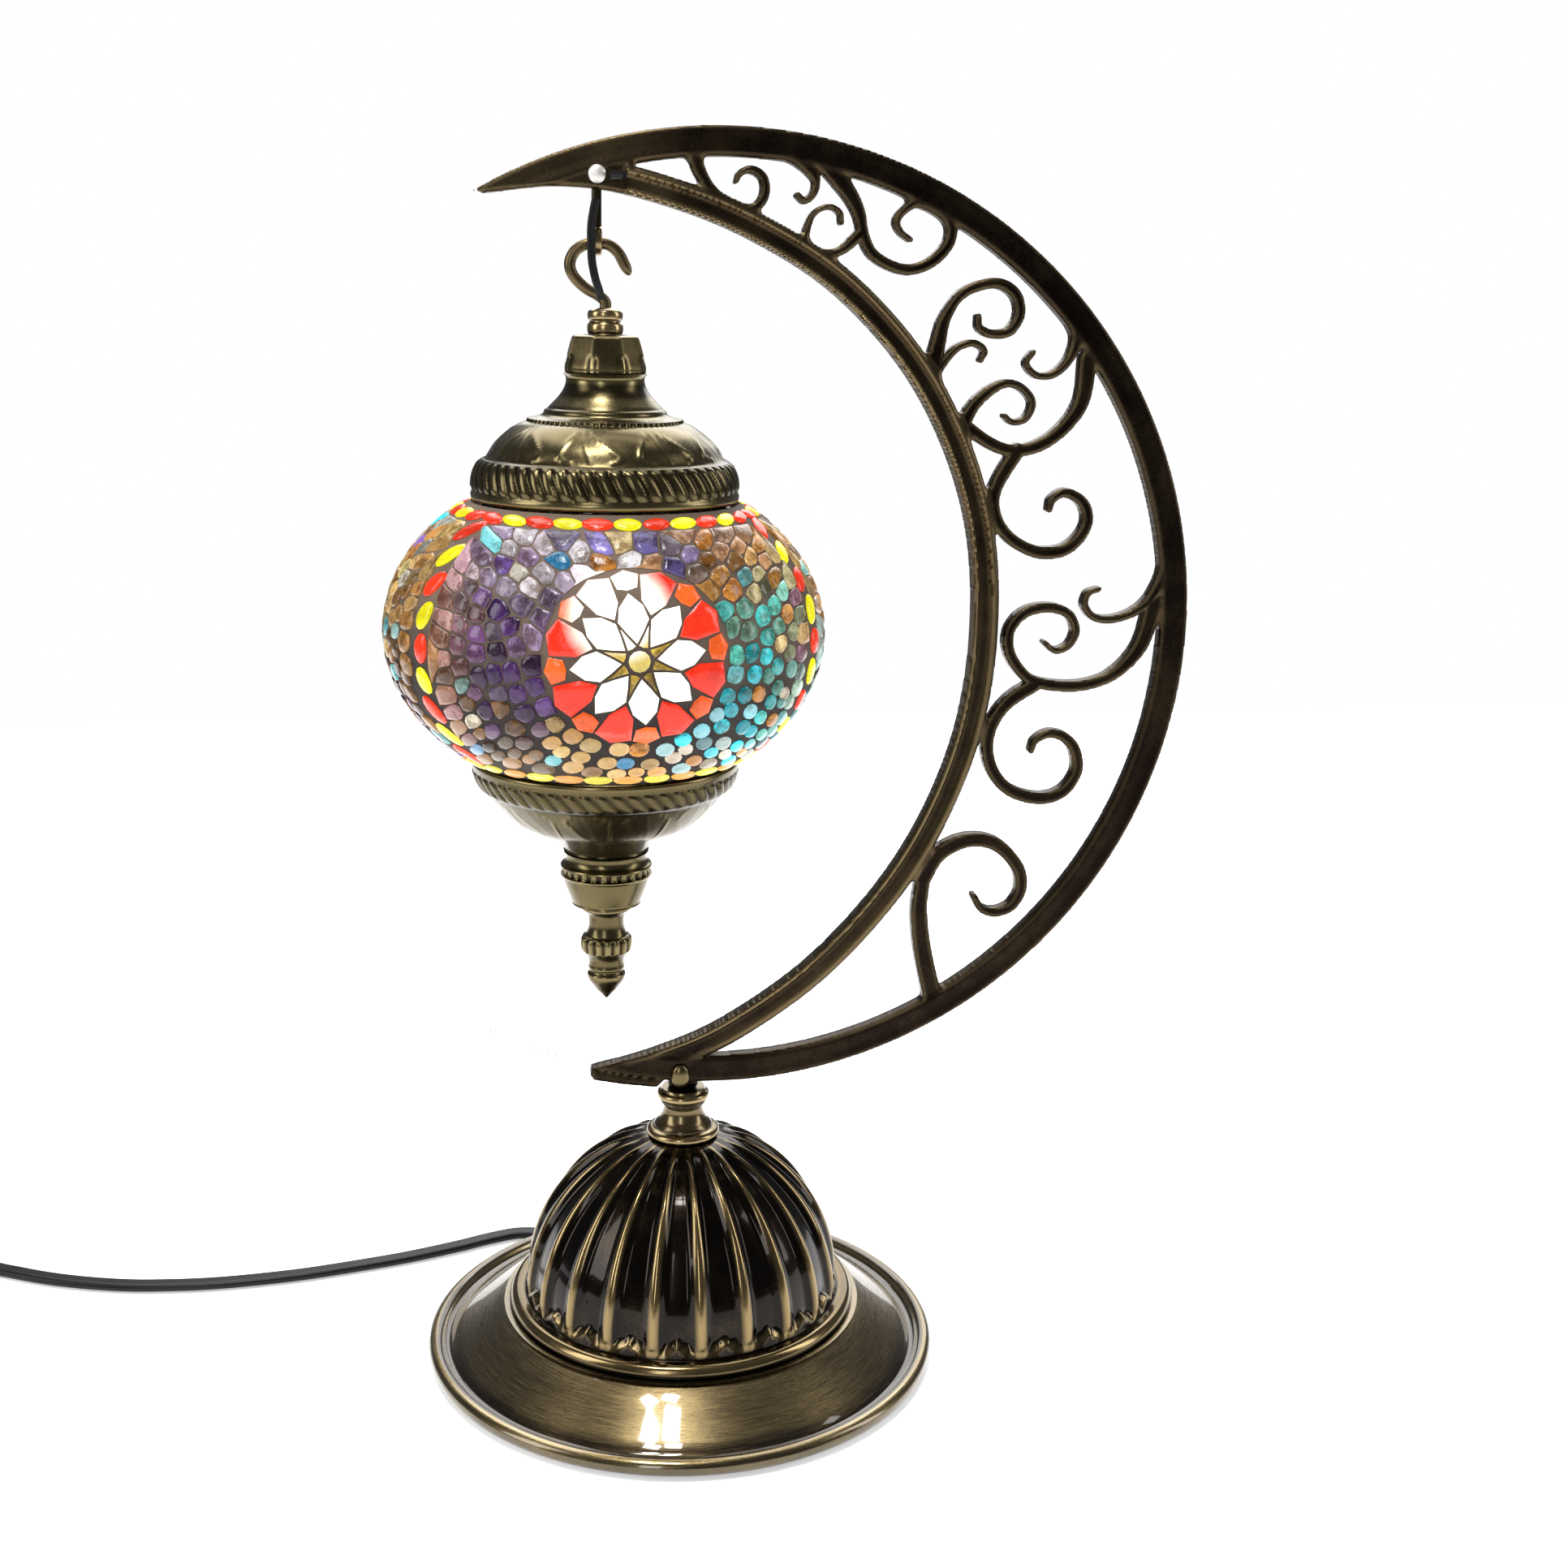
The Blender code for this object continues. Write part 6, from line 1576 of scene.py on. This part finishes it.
inner = flow(INNER_EDGE, 8)
turn = np.radians(np.linspace(-97.0, 119.6, 400))
outer = RING + RING_RADIUS * np.column_stack((np.cos(turn), np.sin(turn)))
loop = np.vstack((outer, [TOP_TIP], inner, BOTTOM_TIP))
from_ring = np.hypot(px - RING[0], pz - RING[1]) - RING_RADIUS
e = to_line(px, pz, inner)
inside = inside_of(px, pz, loop)
tip_line = np.vstack(([inner[-1]], BOTTOM_TIP, [outer[0]]))
top_line = np.vstack(([outer[-1]], [TOP_TIP], [inner[0]]))
edge = np.minimum(np.minimum(np.abs(from_ring), e), to_line(px, pz, tip_line))
edge = np.minimum(edge, to_line(px, pz, top_line))
plate = np.where(inside, -edge, edge)
window = np.maximum(np.maximum(from_ring + BAND, RAIL - e), np.where(inside, -50.0, 5.0))
window = np.maximum(window, np.where(pz > 300, -14.5 - px, -50.0))
metal = -window
scroll = np.full(px.shape, 1e3)
for knots, widths in SCROLLS.values():
    line = flow(knots, 6)
    low = line.min(axis=0) - 5.0
    high = line.max(axis=0) + 5.0
    near = (px > low[0]) & (px < high[0]) & (pz > low[1]) & (pz < high[1])
    scroll[near] = np.minimum(scroll[near], to_line(px[near], pz[near], line, widths))
metal = np.maximum(soft_min(metal, scroll, 1.8), plate)
metal[np.abs(metal) < 0.05] = -0.05
print("metal covers %.0f square mm" % ((metal < 0).sum() * CELL ** 2))

# %% [markdown]
# Half the casting's thickness also comes from the distances. The inner rail has
# a lip, a wide hollow and a ridge; the outer band is slightly crowned; scrolls
# are thin and round. Every outline edge is rounded by a quarter circle. The
# lantern's lead runs in a groove in the back, up from the neck and along the rail.

# %% Thickness and wear
at_rail = ramp(-e, -RAIL - 1.4, -RAIL - 0.2) * (px > -17) * inside
rail_half = 3.45 - 1.25 * ramp(e, 0.7, 2.0) * (1 - ramp(e, 4.4, 5.5)) \
    - 0.5 * ramp(e, 5.9, 7.3)
band_half = 2.95 - 0.35 * ramp(-from_ring, 6.0, 7.6) - 0.25 * bell(-from_ring, 3.6, 1.8)
scroll_half = 2.35
is_scroll = ramp(window, 0.9, -0.9)
half = band_half * (1 - is_scroll) + scroll_half * is_scroll
tip_fade = ramp(px, -26.0, -12.0) + (pz < 200) * ramp(px, -22.0, -8.0)
rail_share = at_rail * np.clip(tip_fade, 0, 1) * np.where(pz < 98, ramp(pz, 88, 98), 1.0)
half = half * (1 - rail_share) + rail_half * rail_share
along = np.gradient(flow(INNER_EDGE[2:-2], 6), axis=0)
along /= np.linalg.norm(along, axis=1, keepdims=True)
mid_rail = flow(INNER_EDGE[2:-2], 6) + RAIL / 2 * np.column_stack((-along[:, 1], along[:, 0]))
CLIMB = [(4.6, 93.0), (1.2, 88.0), (0.0, 82.0), (0.0, 76.0)]
lead_line = np.vstack(([(-20.4, 335.6)], mid_rail, flow(np.vstack((mid_rail[-1:], CLIMB)), 4)))
GROOVE_FLOOR = 0.9
BACK = 2.9                      # the flat back of the casting
ROUND = 1.05
in_groove = 1 - ramp(to_line(px, pz, lead_line), 1.3, 1.75)
back_half = np.minimum(half, BACK)
into = np.clip(-metal / ROUND, 0, 1)
edge_drop = ROUND * (1 - np.sqrt(1 - (1 - into) ** 2)) * 0.85
half = half - edge_drop
back_half = np.minimum(back_half - edge_drop, BACK + (GROOVE_FLOOR - BACK) * in_groove)
lip = bell(e, 0.9, 0.6) * rail_share + 0.75 * bell(e, 5.6, 0.6) * rail_share
rim = 0.32 * bell(-metal, 0.5, 0.4)
upper_plate = 0.2 * ramp(-px, -2.0, 14.0) * (pz > 300)
wear = 0.02 + 0.16 * rail_share + 0.85 * lip + rim * (0.55 + 0.4 * is_scroll) + upper_plate
wear = np.clip(wear - 0.12 * rail_share * bell(e, 3.2, 1.2), 0, 1)


# %% From distances to a mesh
def slab(name, metal, front, back, wear, finish, body):
    """Cut the grid along metal = 0 by marching triangles. The kept triangles make
    the front at y = -front and the back at y = back, and each piece of the cut
    line makes a wall between them."""
    wide, tall = metal.shape
    count = wide * tall
    number = np.arange(count).reshape(wide, tall)
    a, b, c, d = (number[:-1, :-1], number[1:, :-1], number[1:, 1:], number[:-1, 1:])
    tri = np.concatenate((np.stack((a, b, c), -1).reshape(-1, 3),
                          np.stack((a, c, d), -1).reshape(-1, 3)))
    value = metal.ravel()
    inside = value[tri] < 0
    tri = tri[inside.any(axis=1)]
    inside = value[tri] < 0
    kept = inside.sum(axis=1)
    whole = tri[kept == 3]

    def cut_key(p, q):
        """One number for the grid edge between corners p and q."""
        return np.minimum(p, q) * count + np.maximum(p, q)

    def roll_to(tri, pick):
        """Turn each triangle's corners so that its odd one comes first."""
        first = np.argmax(pick, axis=1)
        order = (first[:, None] + np.arange(3)) % 3
        return np.take_along_axis(tri, order, axis=1)

    one = roll_to(tri[kept == 1], inside[kept == 1])
    two = roll_to(tri[kept == 2], ~inside[kept == 2])
    keys = np.concatenate((cut_key(one[:, 0], one[:, 1]), cut_key(one[:, 0], one[:, 2]),
                           cut_key(two[:, 0], two[:, 1]), cut_key(two[:, 0], two[:, 2])))
    unique, place = np.unique(keys, return_inverse=True)
    place = place.ravel() + count
    n_one, n_two = len(one), len(two)
    one_ab, one_ac = place[:n_one], place[n_one:2 * n_one]
    two_ab = place[2 * n_one:2 * n_one + n_two]
    two_ac = place[2 * n_one + n_two:]
    faces = np.concatenate((whole, np.stack((one[:, 0], one_ab, one_ac), -1),
                            np.stack((two_ab, two[:, 1], two[:, 2]), -1),
                            np.stack((two_ab, two[:, 2], two_ac), -1)))
    walls = np.concatenate((np.stack((one_ab, one_ac), -1), np.stack((two_ac, two_ab), -1)))
    p, q = unique // count, unique % count
    share = value[p] / (value[p] - value[q])

    def at_points(field):
        """A field's values at the grid's corners, then at the cuts."""
        flat = np.broadcast_to(field, metal.shape).ravel()
        return np.concatenate((flat, flat[p] + (flat[q] - flat[p]) * share))

    x, z, near, far, rub = (at_points(f) for f in (px, pz, front, back, wear))
    used, new = np.unique(faces, return_inverse=True)
    faces = new.reshape(-1, 3)
    walls = np.searchsorted(used, walls)
    total = len(used)
    x, z, near, far, rub = (f[used] for f in (x, z, near, far, rub))
    verts = np.vstack((np.column_stack((x, -near, z)), np.column_stack((x, far, z))))
    joined = [faces, faces[:, ::-1] + total,
              np.stack((walls[:, 1], walls[:, 0], walls[:, 0] + total, walls[:, 1] + total), -1)]
    return link_mesh(name, verts * MM, joined, finish, body, 50.0, np.tile(rub, 2))


casting = slab("cast_crescent", metal, half, back_half, wear, cast_bronze, "stand")
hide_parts("crescent_frame")
saddle = soft_box("crescent_saddle", (8.6, 5.6, 7.4), (-0.2, 0.0, 85.4), 0.0, cast_bronze,
                  "stand", 1.2)
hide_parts("crescent_frame")
print("crescent faces:", len(casting.data.polygons))

# %% [markdown]
# ## Floor and light
#
# The lamp stands on a plain pale floor. Large soft lights give metal long soft
# highlights, and six small panes overhead give the foot its bright window
# reflection.

# %% Floor
paper = Finish("pale_floor")
tooth = paper.noise(200.0, 3.0)
paper.set(Base_Color=paper.mix(tooth, (0.90, 0.90, 0.90), (0.93, 0.93, 0.93)), Roughness=0.7,
          Normal=paper.bump(tooth, 0.00002), Emission_Strength=0.45,
          Emission_Color=(1.0, 1.0, 1.0))
REACH = 0.9
floor_data = bpy.data.meshes.new("floor")
floor_data.from_pydata([(-REACH, -REACH, 0), (REACH, -REACH, 0), (REACH, REACH, 0),
                        (-REACH, REACH, 0)], [], [(0, 1, 2, 3)])
floor_data.materials.append(paper.material)
floor = bpy.data.objects.new("floor", floor_data)
bpy.context.scene.collection.objects.link(floor)


# %% Lights
def softbox(name, at, target, size, power, tint=(1.0, 1.0, 1.0)):
    """A rectangular area light that faces a target."""
    data = bpy.data.lights.new(name, "AREA")
    data.shape = "RECTANGLE"
    data.size, data.size_y = size
    data.energy = power
    data.color = tint
    lamp = bpy.data.objects.new(name, data)
    bpy.context.scene.collection.objects.link(lamp)
    back = np.array(at, dtype=float) - np.array(target, dtype=float)
    back /= np.linalg.norm(back)
    across = np.cross((0.0, 0.0, 1.0), back)
    across = across / np.linalg.norm(across) if np.linalg.norm(across) > 1e-6 \
        else np.array((1.0, 0.0, 0.0))
    matrix = np.eye(4)
    matrix[:3, 0] = across
    matrix[:3, 1] = np.cross(back, across)
    matrix[:3, 2] = back
    matrix[:3, 3] = at
    lamp.matrix_world = Matrix(matrix.tolist())
    return lamp


AIM = (0.0, 0.0, 0.16)
softbox("roof", (0.05, 0.85, 1.5), AIM, (1.6, 1.3), 30.0)
softbox("left", (-1.25, -0.35, 0.75), AIM, (0.5, 1.1), 9.0)
softbox("right", (1.3, -0.2, 0.7), AIM, (0.35, 1.1), 6.0)
softbox("back", (0.4, 1.5, 0.9), AIM, (1.4, 0.8), 9.0)
PANE_START = (-0.27, -0.44, 1.45)
PANE_STEP = (0.17, 0.13)
for column in range(2):
    for row in range(3):
        place = (PANE_START[0] + PANE_STEP[0] * column, PANE_START[1] + PANE_STEP[1] * row,
                 PANE_START[2])
        softbox(f"pane_{column}_{row}", place, AIM, (0.125, 0.095), 1.7)
softbox("front", (-0.5, -1.5, 0.75), AIM, (0.25, 1.0), 5.0)

world = bpy.data.worlds.new("studio")
world.use_nodes = True
tree = world.node_tree
sky = tree.nodes["Background"]
rays = tree.nodes.new("ShaderNodeLightPath")
bright = tree.nodes.new("ShaderNodeMapRange")
tree.links.new(rays.outputs["Is Camera Ray"], bright.inputs["Value"])
bright.inputs["To Min"].default_value = 0.15
bright.inputs["To Max"].default_value = 1.0
tree.links.new(bright.outputs[0], sky.inputs["Strength"])
sky.inputs["Color"].default_value = (1.0, 1.0, 1.0, 1.0)
bpy.context.scene.world = world
bpy.context.scene.view_settings.view_transform = "Standard"
print("studio ready")

# %% [markdown]
# ## The end
#
# Modifiers are still live, and every piece made here but the drop lead rides on a body.

# %% Last update of the scene
bpy.context.view_layer.update()
